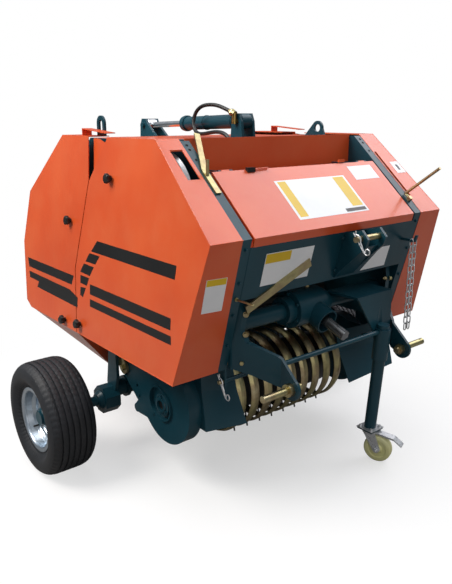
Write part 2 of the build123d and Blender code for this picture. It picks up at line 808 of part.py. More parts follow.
def make_gate_wrap():
    """Rear wall and roof of the tailgate between its plates."""
    back = gate_line(GATE_PLATE_INSET)[5:]
    deeper = gate_line(GATE_PLATE_INSET + SHEET)[5:]
    front_top = (SEAM_TOP_Y + HALF_GAP + SHEET, back[3][1])
    front_low = (front_top[0], deeper[3][1])
    outline = back + [front_top, front_low] + deeper[::-1]
    put("gate_wrap", prism(outline, -PLATE_IN, PLATE_IN))


def wedge(room):
    """Tapered body under the gate outside the right plate, its sloping sides moved in by room."""
    x_in = PLATE_IN + PLATE - 2 * room
    rows = []
    for z, x_out, y_from, y_to in (
        (FOOT_Z, SKIRT_HALF, SKIRT_FRONT_Y, REAR_FOOT_Y),
        (RAMP_FRONT[1], RAMP_CORNER_X, RAMP_FRONT[0], RAMP_FRONT[0] + RAMP_NOSE),
    ):
        corners = [(x_in, y_from), (x_out, y_from), (x_out, y_to), (x_in, y_to)]
        points = [(x, y, z) for x, y in corners]
        rows.append(make_face(Polyline(*points, close=True)))
    return loft(rows, ruled=True)


def make_gate_underpan():
    """Ramp under the tailgate between its plates, and the tapered skirts outside them."""
    ramp = [
        RAMP_FRONT,
        (REAR_FOOT_Y, FOOT_Z),
        (REAR_FOOT_Y, FOOT_Z - SHEET),
        (RAMP_FRONT[0], RAMP_FRONT[1] - SHEET),
    ]
    half = PLATE_IN + PLATE
    skirt = wedge(0) - Pos(-SHEET, 0, 2 * SHEET) * wedge(SHEET)
    left = mirror(skirt, about=Plane.YZ)
    put("gate_underpan", Compound([prism(ramp, -half, half), skirt, left]))


def make_rollers():
    """Ribbed steel rollers round the chamber, each on its own shaft."""
    for name, angle in ROLLERS:
        at = ring_point(CHAMBER, ROLLER_RING, angle)
        roller = rod_x(ROLLER_R, -ROLLER_HALF, ROLLER_HALF, at)
        for index in range(ROLLER_RIBS):
            rib = block(
                (-ROLLER_HALF, ROLLER_HALF),
                (at[0] - ROLLER_RIB / 2, at[0] + ROLLER_RIB / 2),
                (at[1], at[1] + ROLLER_R + ROLLER_RIB),
            )
            roller = roller + about_x(rib, 360 * index / ROLLER_RIBS, at)
        hollow = rod_x(ROLLER_R - ROLLER_WALL, -ROLLER_HALF, ROLLER_HALF, at)
        for x in (-ROLLER_HALF + ROLLER_WEB, ROLLER_HALF - ROLLER_WEB - PANEL):
            hollow = hollow - rod_x(ROLLER_R, x, x + PANEL, at)
        for index in range(ROLLER_SPOKES):
            hole = ring_point(at, (ROLLER_R + ROLLER_SHAFT_R) / 2, 360 * index / ROLLER_SPOKES)
            hollow = hollow + rod_x(ROLLER_SPOKE_R, -ROLLER_HALF, ROLLER_HALF, hole)
        roller = roller - hollow
        shaft_half = PLATE_IN - SEAT
        put(name, roller + rod_x(ROLLER_SHAFT_R, -shaft_half, shaft_half, at))


def make_wheels():
    """Tyres and steel rims, turned about the axle."""
    half = TYRE_W / 2
    round_r = TYRE_SHOULDER
    middle_r = (RIM_SEAT_R + WHEEL_R) / 2
    bead = RIM_HALF - RIM_WALL - SEAT
    tyre_half = [
        (bead - TYRE_BEAD, RIM_SEAT_R + SEAT),
        (bead, RIM_SEAT_R + SEAT),
        (bead, RIM_FLANGE_R + TYRE_LIP),
        (half, middle_r),
    ]
    tyre_half += [(half - aside * round_r, WHEEL_R - below * round_r) for aside, below in SHOULDER_STEPS]
    hollow_half = [
        (half - TYRE_WALL - round_r / 2, WHEEL_R - TYRE_CROWN),
        (half - TYRE_WALL, middle_r),
    ]
    outer = tyre_half + [(-x, r) for x, r in tyre_half[::-1]]
    hollow = [(-x, r) for x, r in hollow_half[::-1]] + hollow_half
    well = RIM_HALF / 2
    inner_seat = RIM_SEAT_R - RIM_WALL
    inner_well = RIM_WELL_R - RIM_WALL
    rim_half = [
        (well - RIM_STEP, RIM_WELL_R),
        (well, RIM_SEAT_R),
        (RIM_HALF - RIM_WALL, RIM_SEAT_R),
        (RIM_HALF - RIM_WALL, RIM_FLANGE_R),
        (RIM_HALF, RIM_FLANGE_R),
        (RIM_HALF, inner_seat),
        (well + RIM_WALL / 2, inner_seat),
        (well - RIM_STEP + RIM_WALL / 2, inner_well),
        (RIM_WALL, inner_well),
        (RIM_WALL, HUB_R),
    ]
    hub_out = [(HUB_OUT, HUB_R), (HUB_OUT, AXLE_R + RUN_FIT)]
    hub_in = [(-HUB_IN, AXLE_R + RUN_FIT), (-HUB_IN, HUB_R)]
    rim_line = rim_half + hub_out + hub_in + [(-x, r) for x, r in rim_half[::-1]]
    at = (WHEEL_Y, WHEEL_Z)
    tyre = revolve_x(make_face(Polyline(*outer, *hollow, close=True)), WHEEL_OUT - half, at)
    rim = revolve_x(make_face(Polyline(*rim_line, close=True)), WHEEL_OUT - half, at)
    put("tyre_right", tyre)
    put("rim_right", rim)
    put("tyre_left", mirror(tyre, about=Plane.YZ))
    put("rim_left", mirror(rim, about=Plane.YZ))


def make_axle():
    """Cross tube and beam under the chamber, the uprights and hub blocks, and the stub axles."""
    at = (WHEEL_Y, WHEEL_Z)
    centre_x = WHEEL_OUT - TYRE_W / 2
    half = ARM_PLATE_X[1]
    beam = block(
        (-PLATE_IN - PLATE, PLATE_IN + PLATE),
        (AXLE_BEAM_Y - BEAM / 2, AXLE_BEAM_Y + BEAM / 2),
        (AXLE_BEAM_FOOT_Z, PLATE_DROP),
    )
    axle = beam + rod_x(CROSS_TUBE_R, -half, half, (AXLE_BEAM_Y, CROSS_TUBE_Z))
    x_in, x_out = ARM_BLOCK_X
    octagon = Pos(*at) * Rot(0, 0, 180 / 8) * RegularPolygon(ARM_BLOCK_R, 8)
    arm = extrude(Plane.YZ.offset(x_in) * octagon, x_out - x_in)
    root = Plane.YZ.offset(x_out) * Pos(*at) * Circle(ARM_BLOCK_R - ARM_CONE)
    neck = Plane.YZ.offset(x_out + ARM_CONE) * Pos(*at) * Circle(AXLE_COLLAR_R)
    arm = arm + loft([root, neck])
    arm = arm + prism(ARM_PLATE_LINE, *ARM_PLATE_X)
    arm = arm + rod_x(CAM_R, *CAM_X, (AXLE_BEAM_Y, CROSS_TUBE_Z))
    stub_end = centre_x + HUB_OUT + SEAT
    arm = arm + rod_x(AXLE_R, x_in, stub_end, at)
    arm = arm + rod_x(AXLE_COLLAR_R, centre_x - HUB_IN - SEAT - AXLE_CAP, centre_x - HUB_IN - SEAT, at)
    arm = arm + rod_x(AXLE_COLLAR_R, stub_end, stub_end + AXLE_CAP, at)
    put("axle_beam", axle + arm + mirror(arm, about=Plane.YZ))


def hanger_in():
    """Inner face of the zinc hangers, beside the pickup's side plates."""
    return FAN_IN + FAN + 2


def tangent_web(centre_a, r_a, centre_b, r_b):
    """Four (y, z) points where the two outer tangents touch two circles."""
    dy, dz = centre_b[0] - centre_a[0], centre_b[1] - centre_a[1]
    turn = math.degrees(math.atan2(dz, dy))
    spread = math.degrees(math.acos((r_a - r_b) / math.hypot(dy, dz)))
    return [
        ring_point(centre_a, r_a, turn + spread),
        ring_point(centre_b, r_b, turn + spread),
        ring_point(centre_b, r_b, turn - spread),
        ring_point(centre_a, r_a, turn - spread),
    ]


def bar_places():
    """Centres of the two bars that the bands end on, as (y, z)."""
    places = []
    for degrees, run, turn, out in BAND_ENDS:
        edge = ring_point(HUB, BAND_R - BAND_RISE + out, degrees)
        places.append(ring_point(edge, run, degrees + turn))
    return places


def obround(radius, x_from, x_to):
    """Bearing opening of the pickup's side plate, widened by a radius."""
    shape = None
    for side in (-1, 1):
        at = ring_point(BEARING_AT, side * BEARING_HALF, BEARING_TILT)
        disc = rod_x(radius, x_from, x_to, at)
        shape = disc if shape is None else shape + disc
    corners = []
    for side, across in ((-1, -1), (1, -1), (1, 1), (-1, 1)):
        at = ring_point(BEARING_AT, side * BEARING_HALF, BEARING_TILT)
        corners.append(ring_point(at, across * radius, BEARING_TILT + 90))
    return shape + prism(corners, x_from, x_to)


def make_pickup_sides():
    """Fan-shaped side plates with their bearings, and the zinc hangers on the frame."""
    x_in, x_out = FAN_IN, FAN_IN + FAN
    fan = rod_x(FAN_R, x_in, x_out, HUB) + rod_x(FAN_PIVOT_R, x_in, x_out, FAN_PIVOT)
    fan = fan + prism(tangent_web(HUB, FAN_R, FAN_PIVOT, FAN_PIVOT_R), x_in, x_out)
    for at in bar_places():
        turn = math.degrees(math.atan2(at[1] - HUB[1], at[0] - HUB[0]))
        foot = [ring_point(HUB, FAN_R - PANEL, turn + side * FAN_LUG_FOOT) for side in (-1, 1)]
        head = [ring_point(at, FAN_LUG_R, turn + side * 90) for side in (1, -1)]
        fan = fan + prism(foot + head, x_in, x_out) + rod_x(FAN_LUG_R, x_in, x_out, at)
    fan = fan - obround(BEARING_R, x_in, x_out)
    fan = fan + (obround(BEARING_R + BEARING_RIM, x_out, x_out + BEARING_RIM_H)
                 - obround(BEARING_R, x_out, x_out + BEARING_RIM_H))
    fan = fan + obround(BEARING_R + BEARING_LAP, x_in - BEARING_LAP, x_in)
    fan = fan + rod_x(BEARING_BOSS_R, x_in - BEARING_LAP, x_out, REEL)
    fan = fan - rod_x(REEL_STUB_R + RUN_FIT, 0, x_out + BEARING_RIM_H, REEL)
    fan = fan - rod_x(FAN_PIN_R + RUN_FIT, x_in, x_out, FAN_PIVOT)
    fan = fan - rod_x(FAN_HOLE_R, x_in, x_out, FAN_HOLE)
    fan = fan + rod_x(FAN_PLUG_R, x_out, x_out + FAN_PLUG_T, FAN_PLUG)
    put("pickup_side_plates", mirrored(fan))

    inner, outer = hanger_in(), ARM_PLATE_X[0]
    hanger = rod_x(HANGER_R, inner, outer, FAN_PIVOT) + rod_x(HANGER_R, inner, outer, HANGER_TOP)
    dy, dz = HANGER_TOP[0] - FAN_PIVOT[0], HANGER_TOP[1] - FAN_PIVOT[1]
    turn = math.degrees(math.atan2(dz, dy))
    corners = [
        ring_point(FAN_PIVOT, HANGER_R, turn + 90),
        ring_point(HANGER_TOP, HANGER_R, turn + 90),
        ring_point(HANGER_TOP, HANGER_R, turn - 90),
        ring_point(FAN_PIVOT, HANGER_R, turn - 90),
    ]
    hanger = hanger + prism(corners, inner, outer)
    hanger = hanger + block((PLATE_IN + PLATE, inner), HANGER_TIE_Y, HANGER_TIE_Z)
    bolt_face = Plane.YZ.offset(outer) * Pos(*FAN_PIVOT) * RegularPolygon(HANGER_BOLT_R, 6)
    put("pickup_hangers", mirrored(hanger + extrude(bolt_face, HANGER_BOLT)))


def make_bands():
    """Curved bands of the pickup, raised along the middle, with the two bars that they end on."""
    top_bar, foot_bar = bar_places()
    bands = rod_x(BAND_BAR_R, -FAN_IN, FAN_IN, top_bar)
    bands = bands + rod_x(BAND_BAR_R, -FAN_IN, FAN_IN, foot_bar)
    flat_from, flat_to = (BAND_W - BAND_FLAT) / 2, (BAND_W + BAND_FLAT) / 2
    low_r = BAND_R - BAND_RISE
    ridge = [
        (0, low_r),
        (flat_from, BAND_R),
        (flat_to, BAND_R),
        (BAND_W, low_r),
        (BAND_W, low_r - BAND_T),
        (flat_to, BAND_R - BAND_T),
        (flat_from, BAND_R - BAND_T),
        (0, low_r - BAND_T),
    ]
    section = Plane.XZ * make_face(Polyline(*ridge, close=True))
    start, end = BAND_ENDS[0][0], BAND_ENDS[1][0]
    arc = revolve(section, axis=Axis.X, revolution_arc=end - start)
    band = Pos(0, *HUB) * Rot(start - 90, 0, 0) * arc
    for degrees, run, turn, _ in BAND_ENDS:
        edges = [ring_point(HUB, radius, degrees) for radius in (low_r, low_r - BAND_T)]
        ends = [ring_point(edge, run, degrees + turn) for edge in edges]
        band = band + prism([edges[0], *ends, edges[1]], 0, BAND_W)
    pitch = 2 * (BAND_HALF - BAND_W / 2) / (BAND_COUNT - 1)
    for index in range(BAND_COUNT):
        bands = bands + Pos(-BAND_HALF + index * pitch, 0, 0) * band
    put("pickup_bands", bands)


def shield(line_in, line_out, x_in, x_out):
    """Plate between two polylines of (y, z) points, one at its inner and one at its outer end."""
    faces = []
    for x, line in ((x_in, line_in), (x_out, line_out)):
        back = [(y + SHIELD_T, z) for y, z in line[::-1]]
        points = [(x, y, z) for y, z in line + back]
        faces.append(make_face(Polyline(*points, close=True)))
    return loft(faces, ruled=True)


def make_shields():
    """Drums beside the reel, each with its front shield; the right one has the wider drive guard."""
    drum = rod_x(DRUM_R, DRUM_IN, FAN_IN - BEARING_LAP - SEAT, HUB)
    drum = drum + rod_x(DRUM_R, FAN_IN - BEARING_LAP - SEAT, FAN_IN, HUB)
    drum = drum - rod_x(DRUM_R - DRUM_WALL, DRUM_IN + DRUM_WALL, FAN_IN, HUB)
    drum = drum - rod_x(DRUM_EYE_R, 0, FAN_IN, REEL)
    top_z, foot_z = SHIELD_OUTER[0][1], SHIELD_OUTER[-1][1]
    cheek_line = SHIELD_OUTER + [(SHIELD_CHEEK_Y, foot_z), (SHIELD_CHEEK_Y, top_z)]
    cheek = prism(cheek_line, DRUM_IN, DRUM_IN + DRUM_WALL)
    cheek = cheek - rod_x(DRUM_R - DRUM_WALL, 0, FAN_IN, HUB)
    left = drum + cheek + shield(SHIELD_INNER, SHIELD_OUTER, BAND_HALF, DRUM_IN + DRUM_WALL)
    guard_foot = GUARD_OUTER[-1]
    wall = GUARD_OUTER + [(GUARD_FLANGE_Y, guard_foot[1]), (GUARD_FLANGE_Y, GUARD_OUTER[0][1])]
    right = drum + cheek + shield(SHIELD_INNER, GUARD_OUTER, BAND_HALF, GUARD_OUT)
    right = right + prism(wall, GUARD_OUT - SHIELD_T, GUARD_OUT)
    put("pickup_shields", Compound([mirror(left, about=Plane.YZ), right]))


def make_reel():
    """Reel drum on its stubs, with rows of trailing tines in the gaps between the bands."""
    stub_out = FAN_IN + FAN + REEL_STUB_OUT
    reel = rod_x(REEL_DRUM_R, -REEL_HALF, REEL_HALF, REEL)
    wall = REEL_DRUM_WALL
    reel = reel - rod_x(REEL_DRUM_R - wall, -REEL_HALF + wall, REEL_HALF - wall, REEL)
    reel = reel + rod_x(REEL_STUB_R, -stub_out, stub_out, REEL)
    pitch = 2 * (BAND_HALF - BAND_W / 2) / (BAND_COUNT - 1)
    for row in range(REEL_ROWS):
        angle = 360 * (row + 0.5) / REEL_ROWS
        root = ring_point(REEL, REEL_DRUM_R - TINE_ROOT, angle)
        tip = ring_point(REEL, REEL_TIP_R - TINE_R, angle + TINE_LEAN_DEG)
        for index in range(BAND_COUNT - 1):
            x = -BAND_HALF + (BAND_W + pitch) / 2 + index * pitch
            reel = reel + rod_between(TINE_R, (x, *root), (x, *tip))
    put("pickup_reel", reel)


def pto_point(distance):
    """Point on the drive shaft's axis, as (y, z), at a distance forward of the cross tube."""
    pitch = math.radians(PTO_PITCH)
    return (TUBE[0] - distance * math.cos(pitch), TUBE[1] - distance * math.sin(pitch))


def pto_rod(radius, start, end):
    """Round bar on the drive shaft's axis between two distances."""
    return rod_between(radius, (0, *pto_point(start)), (0, *pto_point(end)))


def make_drive():
    """Gearbox on the cross tube, with the bell round the splined drive shaft."""
    low, high = GEARBOX_X - GEARBOX_HALF, GEARBOX_X + GEARBOX_HALF
    body = rod_x(TUBE_R, -PLATE_IN, PLATE_IN, TUBE) + rod_x(GEARBOX_R, low, high, TUBE)
    body = body + rod_x(GEARBOX_COLLAR_R, low - GEARBOX_COLLAR, high + GEARBOX_COLLAR, TUBE)
    body = body + pto_rod(PTO_BELL_R, 0, PTO_BELL_TO)
    body = body - pto_rod(PTO_BELL_R - PTO_BELL_WALL, PTO_BELL_MOUTH, PTO_BELL_TO)
    body = body - pto_rod(PTO_R + RUN_FIT, PTO_BELL_FROM, PTO_BELL_TO)
    put("gearbox", body)
    shaft = pto_rod(PTO_R, PTO_BELL_FROM + SEAT, PTO_END)
    pitch = math.radians(PTO_PITCH)
    face_plane = Plane(
        origin=(0, *pto_point(PTO_END - PTO_SPLINE / 2)),
        x_dir=(1, 0, 0),
        z_dir=(0, -math.cos(pitch), -math.sin(pitch)),
    )
    for index in range(PTO_SPLINES):
        turn = Rot(0, 0, 360 * index / PTO_SPLINES)
        shaft = shaft - face_plane * turn * Pos(PTO_R, 0, 0) * Box(*PTO_GROOVE, PTO_SPLINE)
    put("drive_shaft", shaft)


def make_hitch():
    """Lower hitch plates and pins, bent in plan to meet the side plates."""
    near, far = PIN_X - HITCH_PLATE / 2, PIN_X + HITCH_PLATE / 2
    rear_x, rear_y = HITCH_REAR
    plan = [
        (near, PIN[0] - HITCH_NOSE_R),
        (far, PIN[0] - HITCH_NOSE_R),
        (far, HITCH_BEND_Y),
        (rear_x + 2, rear_y - HITCH_FOOT),
        (PLATE_IN, rear_y - HITCH_FOOT),
        (PLATE_IN, rear_y),
        (rear_x - HITCH_PLATE, rear_y),
        (near, HITCH_BEND_Y + 2),
    ]
    slab = extrude(make_face(Polyline(*plan, close=True)), TOP_Z)
    side = prism(HITCH_LINE, near, PLATE_IN) + rod_x(HITCH_NOSE_R, near, PLATE_IN, PIN)
    put("hitch_plates", mirrored((slab & side) - rod_x(PIN_R, near, far, PIN)))
    pin = rod_x(PIN_R, PIN_X - PIN_BACK, PIN_TIP_X, PIN)
    pin = pin + rod_x(PIN_COLLAR_R, far, far + PIN_COLLAR, PIN)
    nut_face = Plane.YZ.offset(near - PIN_NUT) * Pos(*PIN) * RegularPolygon(PIN_NUT, 6)
    hole = Pos(PIN_TIP_X - PIN_HOLE_END, *PIN) * Cylinder(PIN_HOLE_R, 4 * PIN_R)
    put("hitch_pins", mirrored(pin + extrude(nut_face, PIN_NUT) - hole))


def make_clevis():
    """Clevis for the top link on the front panel, with its pin."""
    foot_z = PANEL_FOOT_Z + CLEVIS_FOOT
    head_z = CLEVIS_PIN[1] + CLEVIS_HEAD
    ear_line = [
        (front_y(head_z), head_z),
        (CLEVIS_PIN[0], CLEVIS_PIN[1] + CLEVIS_R),
        (CLEVIS_PIN[0] - CLEVIS_R, CLEVIS_PIN[1]),
        (CLEVIS_NECK[0] - CLEVIS_R, CLEVIS_PIN[1] - CLEVIS_R),
        (front_y(foot_z), foot_z),
    ]
    web_line = [
        (front_y(foot_z), foot_z),
        (front_y(foot_z) - CLEVIS_WEB, foot_z),
        (CLEVIS_NECK[0] - CLEVIS_WEB, CLEVIS_NECK[1]),
        (CLEVIS_NECK[0], CLEVIS_NECK[1]),
    ]
    low, high = CLEVIS_X
    clevis = prism(ear_line, low, low + CLEVIS_PLATE) + prism(ear_line, high - CLEVIS_PLATE, high)
    clevis = clevis + prism(web_line, low, high)
    put("top_link_clevis", clevis - rod_x(CLEVIS_PIN_R, low, high, CLEVIS_PIN))
    ends = CLEVIS_PIN_ENDS
    put("top_link_pin", rod_x(CLEVIS_PIN_R - CLEVIS_FIT, low - ends[0], high + ends[1], CLEVIS_PIN))


def leaned(shape):
    """Shape of the jack, drawn upright at its foot, turned to the jack's lean."""
    return Pos(JACK_X, JACK_FOOT_Y, CASTOR_H) * Rot(JACK_LEAN, 0, 0) * shape


def make_jack():
    """Jack sleeve on its gusset and tie rod, and the sliding post with its foot plate."""
    outer_r = JACK_R + RUN_FIT + JACK_SLEEVE_WALL
    low, high = JACK_SLEEVE[0] - CASTOR_H, JACK_SLEEVE[1] - CASTOR_H
    sleeve = extrude(Plane.XY.offset(low) * Circle(outer_r), high - low)
    bore = extrude(Plane.XY * Circle(JACK_R + RUN_FIT), 2 * high)
    plate_x = PIN_X - HITCH_PLATE / 2
    gusset_line = [
        (plate_x, GUSSET_TOP_Z),
        (plate_x, GUSSET_FOOT_Z),
        (JACK_X, GUSSET_FOOT_Z),
        (JACK_X - outer_r, GUSSET_SIDE_Z),
        (JACK_X - GUSSET_SPAN, GUSSET_TOP_Z),
    ]
    sleeve_y = JACK_FOOT_Y - math.tan(math.radians(JACK_LEAN)) * (JACK_SLEEVE[0] + JACK_SLEEVE[1]) / 3
    gusset_y = sleeve_y + GUSSET_SETBACK
    face = make_face(Polyline(*gusset_line, close=True))
    gusset = extrude(Plane.XZ.offset(-gusset_y - GUSSET) * face, GUSSET)
    root = block(
        (JACK_X - GUSSET_SPAN, plate_x),
        (gusset_y, TUBE[0] - TUBE_R + PANEL),
        (GUSSET_TOP_Z - GUSSET, GUSSET_TOP_Z),
    )
    tie = rod_x(ROD_R, HITCH_PLATE / 2 - PIN_X, JACK_X, ROD)
    bracket = leaned(sleeve) + gusset + root + tie
    put("jack_bracket", bracket - leaned(bore) - rod_x(TUBE_R, -PLATE_IN, PLATE_IN, TUBE))

    post = leaned(extrude(Circle(JACK_R), JACK_TOP_Z - CASTOR_H))
    post = post - block((0, 2 * JACK_X), (-REACH, 0), (0, CASTOR_H))
    pad = (-CASTOR_PAD, CASTOR_PAD)
    post = post + Pos(JACK_X, JACK_FOOT_Y, 0) * block(pad, pad, (CASTOR_H - CASTOR_PLATE, CASTOR_H))
    kingpin_z = CASTOR_H - CASTOR_PLATE - KINGPIN / 2
    put("jack_post", post + Pos(JACK_X, JACK_FOOT_Y, kingpin_z) * Cylinder(KINGPIN_R, KINGPIN))


def make_castor():
    """Castor fork with its brake pedal, and the wheel."""
    top = CASTOR_H - CASTOR_PLATE - RUN_FIT
    crown_foot = top - CASTOR_CROWN
    fork = Pos(0, 0, top - CASTOR_CROWN / 2) * Cylinder(CASTOR_CROWN_R, CASTOR_CROWN)
    cheek_x = CASTOR_W / 2 + CHEEK_GAP
    cheek_out = cheek_x + CHEEK
    axle = (-CASTOR_TRAIL, CASTOR_Z)
    cheek = [
        (CASTOR_CROWN_R - CHEEK, top - CHEEK),
        (-CASTOR_CROWN_R, top - CHEEK),
        (axle[0] - CASTOR_HUB_R, axle[1]),
        (axle[0] - CHEEK, axle[1] - CASTOR_HUB_R),
        (axle[0] + CASTOR_HUB_R - CHEEK, axle[1] - CASTOR_HUB_R + CHEEK),
    ]
    fork = fork + prism(cheek, -cheek_out, -cheek_x) + prism(cheek, cheek_x, cheek_out)
    yoke_y = (-CASTOR_CROWN_R, CASTOR_CROWN_R - CHEEK)
    fork = fork + block((-cheek_out, cheek_out), yoke_y, (crown_foot, crown_foot + CASTOR_PLATE))
    fork = fork - Pos(0, 0, top) * Cylinder(KINGPIN_R + RUN_FIT, 4 * KINGPIN)
    fork = fork + rod_x(CASTOR_PIN_R, -cheek_out - CHEEK, cheek_out + CHEEK, axle)
    tip = -PEDAL_REACH
    pedal = [
        (-CASTOR_CROWN_R + CHEEK, crown_foot),
        (-CASTOR_CROWN_R + CHEEK, crown_foot + CASTOR_PLATE),
        (tip + 2 * PEDAL_HALF, crown_foot - CHEEK),
        (tip, top - PEDAL_DROP + CHEEK),
        (tip, top - PEDAL_DROP),
        (tip + 2 * PEDAL_HALF - CHEEK, crown_foot - 3 * CHEEK),
    ]
    fork = fork + prism(pedal, -PEDAL_HALF, PEDAL_HALF)
    turned = Pos(JACK_X, JACK_FOOT_Y, 0) * Rot(0, 0, CASTOR_TURN)
    put("castor_fork", turned * fork)
    half = CASTOR_W / 2
    edge = 2 * CASTOR_PIN_R
    hub_half = half + CHEEK_GAP - 5 * RUN_FIT
    wheel_half = [
        (hub_half, CASTOR_PIN_R + RUN_FIT),
        (hub_half, CASTOR_HUB_R),
        (half, CASTOR_HUB_R),
        (half, CASTOR_R - edge / 2),
        (half - edge / 2, CASTOR_R),
    ]
    line = wheel_half + [(-x, r) for x, r in wheel_half[::-1]]
    wheel = revolve_x(make_face(Polyline(*line, close=True)), 0, axle)
    put("castor_wheel", turned * wheel)


def cylinder_ears(line, pin_at, pin_from, pin_to):
    """Two ears beside the cylinder's eye with the pin through them."""
    inner = CYL_BOSS_HALF + RUN_FIT
    ears = prism(line, CYL_X - inner - CYL_LUG, CYL_X - inner)
    ears = ears + prism(line, CYL_X + inner, CYL_X + inner + CYL_LUG)
    return ears + rod_x(CYL_PIN_R, pin_from, pin_to, pin_at)


def make_cylinder():
    """Gate cylinder: lug on the top beam, barrel, rod with a slotted eye, and the gate's lug."""
    base, eye = CYL_BASE, CYL_EYE
    length = math.hypot(eye[0] - base[0], eye[1] - base[1])
    tilt = math.degrees(math.atan2(eye[1] - base[1], eye[0] - base[0]))
    half = CYL_BOSS_HALF + RUN_FIT + CYL_LUG
    shoulder = CYL_BOSS_R - RUN_FIT
    lug_line = [
        (base[0] - CYL_LUG_FOOT, ROOF_Z),
        (base[0] - CYL_BOSS_R, base[1]),
        (base[0] - CYL_LUG_TOP, base[1] + shoulder),
        (base[0] + CYL_LUG_TOP, base[1] + shoulder),
        (base[0] + CYL_BOSS_R, base[1]),
        (base[0] + CYL_LUG_FOOT, ROOF_Z),
    ]
    lug = cylinder_ears(lug_line, base, CYL_X - half, CYL_X + half + CYL_PIN_END)
    foot_y = (base[0] - CYL_LUG_FOOT, base[0] + CYL_LUG_FOOT)
    pad = block((CYL_X - half, CYL_X + half), foot_y, (ROOF_Z, ROOF_Z + CYL_LUG_PAD))
    put("cylinder_lug", lug + pad)

    def laid(shape):
        return Pos(CYL_X, base[0], base[1]) * Rot(tilt, 0, 0) * shape

    def along(radius, start, end):
        return rod_between(radius, (0, start, 0), (0, end, 0))

    boss = (-CYL_BOSS_HALF, CYL_BOSS_HALF)
    barrel = rod_x(CYL_BOSS_R, *boss, (0, 0)) + along(CYL_NECK_R, 0, CYL_NECK)
    barrel = barrel + along(CYL_R, CYL_NECK, CYL_LENGTH)
    barrel = barrel + along(CYL_R + CYL_GLAND_RIM, CYL_LENGTH - CYL_GLAND, CYL_LENGTH)
    barrel = barrel - rod_x(CYL_PIN_R + RUN_FIT, *boss, (0, 0))
    barrel = barrel - along(CYL_ROD_R + RUN_FIT, CYL_BORE_FROM, CYL_LENGTH)
    put("cylinder_barrel", laid(barrel))
    eye_r = CYL_PIN_R + CYL_EYE_ROOM
    rod = along(CYL_ROD_R, length - CYL_ROD_LENGTH, length - CYL_BOSS_R + CHEEK)
    rod = rod + rod_x(CYL_BOSS_R, *boss, (length, 0))
    slot = [
        (length, eye_r),
        (length + CYL_EYE_SLOT, eye_r),
        (length + CYL_EYE_SLOT, -eye_r),
        (length, -eye_r),
    ]
    rod = rod - rod_x(eye_r, *boss, (length, 0)) - prism(slot, *boss)
    rod = rod - rod_x(eye_r, *boss, (length + CYL_EYE_SLOT, 0))
    put("cylinder_rod", laid(rod))

    line = gate_line(GATE_PLATE_INSET)
    ridge, rear = line[8], line[7]
    slope = (rear[1] - ridge[1]) / (rear[0] - ridge[0])

    def roof_at(y):
        return (y, ridge[1] + (y - ridge[0]) * slope)

    gate_line_up = [
        roof_at(ridge[0] + CHEEK),
        (eye[0] - CYL_BOSS_R, eye[1] + CYL_LUG_PAD),
        (eye[0] - CYL_LUG_TOP, eye[1] + shoulder),
        (eye[0] + CYL_LUG_TOP, eye[1] + shoulder),
        (eye[0] + CYL_BOSS_R, eye[1]),
        roof_at(eye[0] + CYL_BOSS_R + CYL_PIN_END),
    ]
    pin_half = half + CYL_PIN_END
    put("gate_lug", cylinder_ears(gate_line_up, eye, CYL_X - pin_half, CYL_X + pin_half))


def make_knobs():
    """Star knobs that hold the side covers."""
    slope = (FOOT_HALF - TOP_HALF) / (TOP_Z - FOOT_Z)
    lobe_r = KNOB_R / 3
    for name, places in (("front_knobs", FRONT_KNOBS), ("gate_knobs", GATE_KNOBS)):
        knobs = []
        for y, z in places:
            star = Circle(KNOB_R - lobe_r)
            for index in range(KNOB_LOBES):
                turn = Rot(0, 0, 360 * index / KNOB_LOBES)
                star = star + turn * Pos(KNOB_R - lobe_r, 0) * Circle(lobe_r)
            knob = Pos(0, 0, KNOB_STEM) * extrude(star, KNOB_T)
            knob = knob + extrude(Circle(KNOB_R / 2), KNOB_STEM)
            plane = Plane(origin=(side_face_x(z), y, z), x_dir=(0, 1, 0), z_dir=(1, 0, slope))
            knob = plane * knob
            knobs += [knob, mirror(knob, about=Plane.YZ)]
        put(name, Compound(knobs))


def make_eyes():
    """Lifting eyes: a gusset plate on the top beam and a loop on the tailgate."""
    span = (ROOF_EYE_X, ROOF_EYE_X + EYE_T)
    foot = ROOF_EYE_FOOT_Y
    shoulders = [ring_point(ROOF_EYE, ROOF_EYE_R, degrees) for degrees in (45, 135)]
    eye = prism([(foot[0], ROOF_Z), (foot[1], ROOF_Z)] + shoulders, *span)
    eye = eye + rod_x(ROOF_EYE_R, *span, ROOF_EYE)
    eye = eye - rod_x(ROOF_EYE_HOLE_R, *span, ROOF_EYE)
    put("roof_lifting_eye", eye)
    span = (-GATE_EYE_X - EYE_T, -GATE_EYE_X)
    top = (GATE_EYE_Y, GATE_EYE_TOP_Z - GATE_EYE_R)
    loop_y = (GATE_EYE_Y - GATE_EYE_R, GATE_EYE_Y + GATE_EYE_R)
    hole_y = (GATE_EYE_Y - GATE_EYE_HOLE_R, GATE_EYE_Y + GATE_EYE_HOLE_R)
    loop = block(span, loop_y, (TOP_Z, top[1])) + rod_x(GATE_EYE_R, *span, top)
    loop = loop - block(span, hole_y, (GATE_EYE_HOLE_Z, top[1]))
    loop = loop - rod_x(GATE_EYE_HOLE_R, *span, top)
    loop = loop - rod_x(GATE_EYE_HOLE_R, *span, (GATE_EYE_Y, GATE_EYE_HOLE_Z))
    put("gate_lifting_eye", loop)


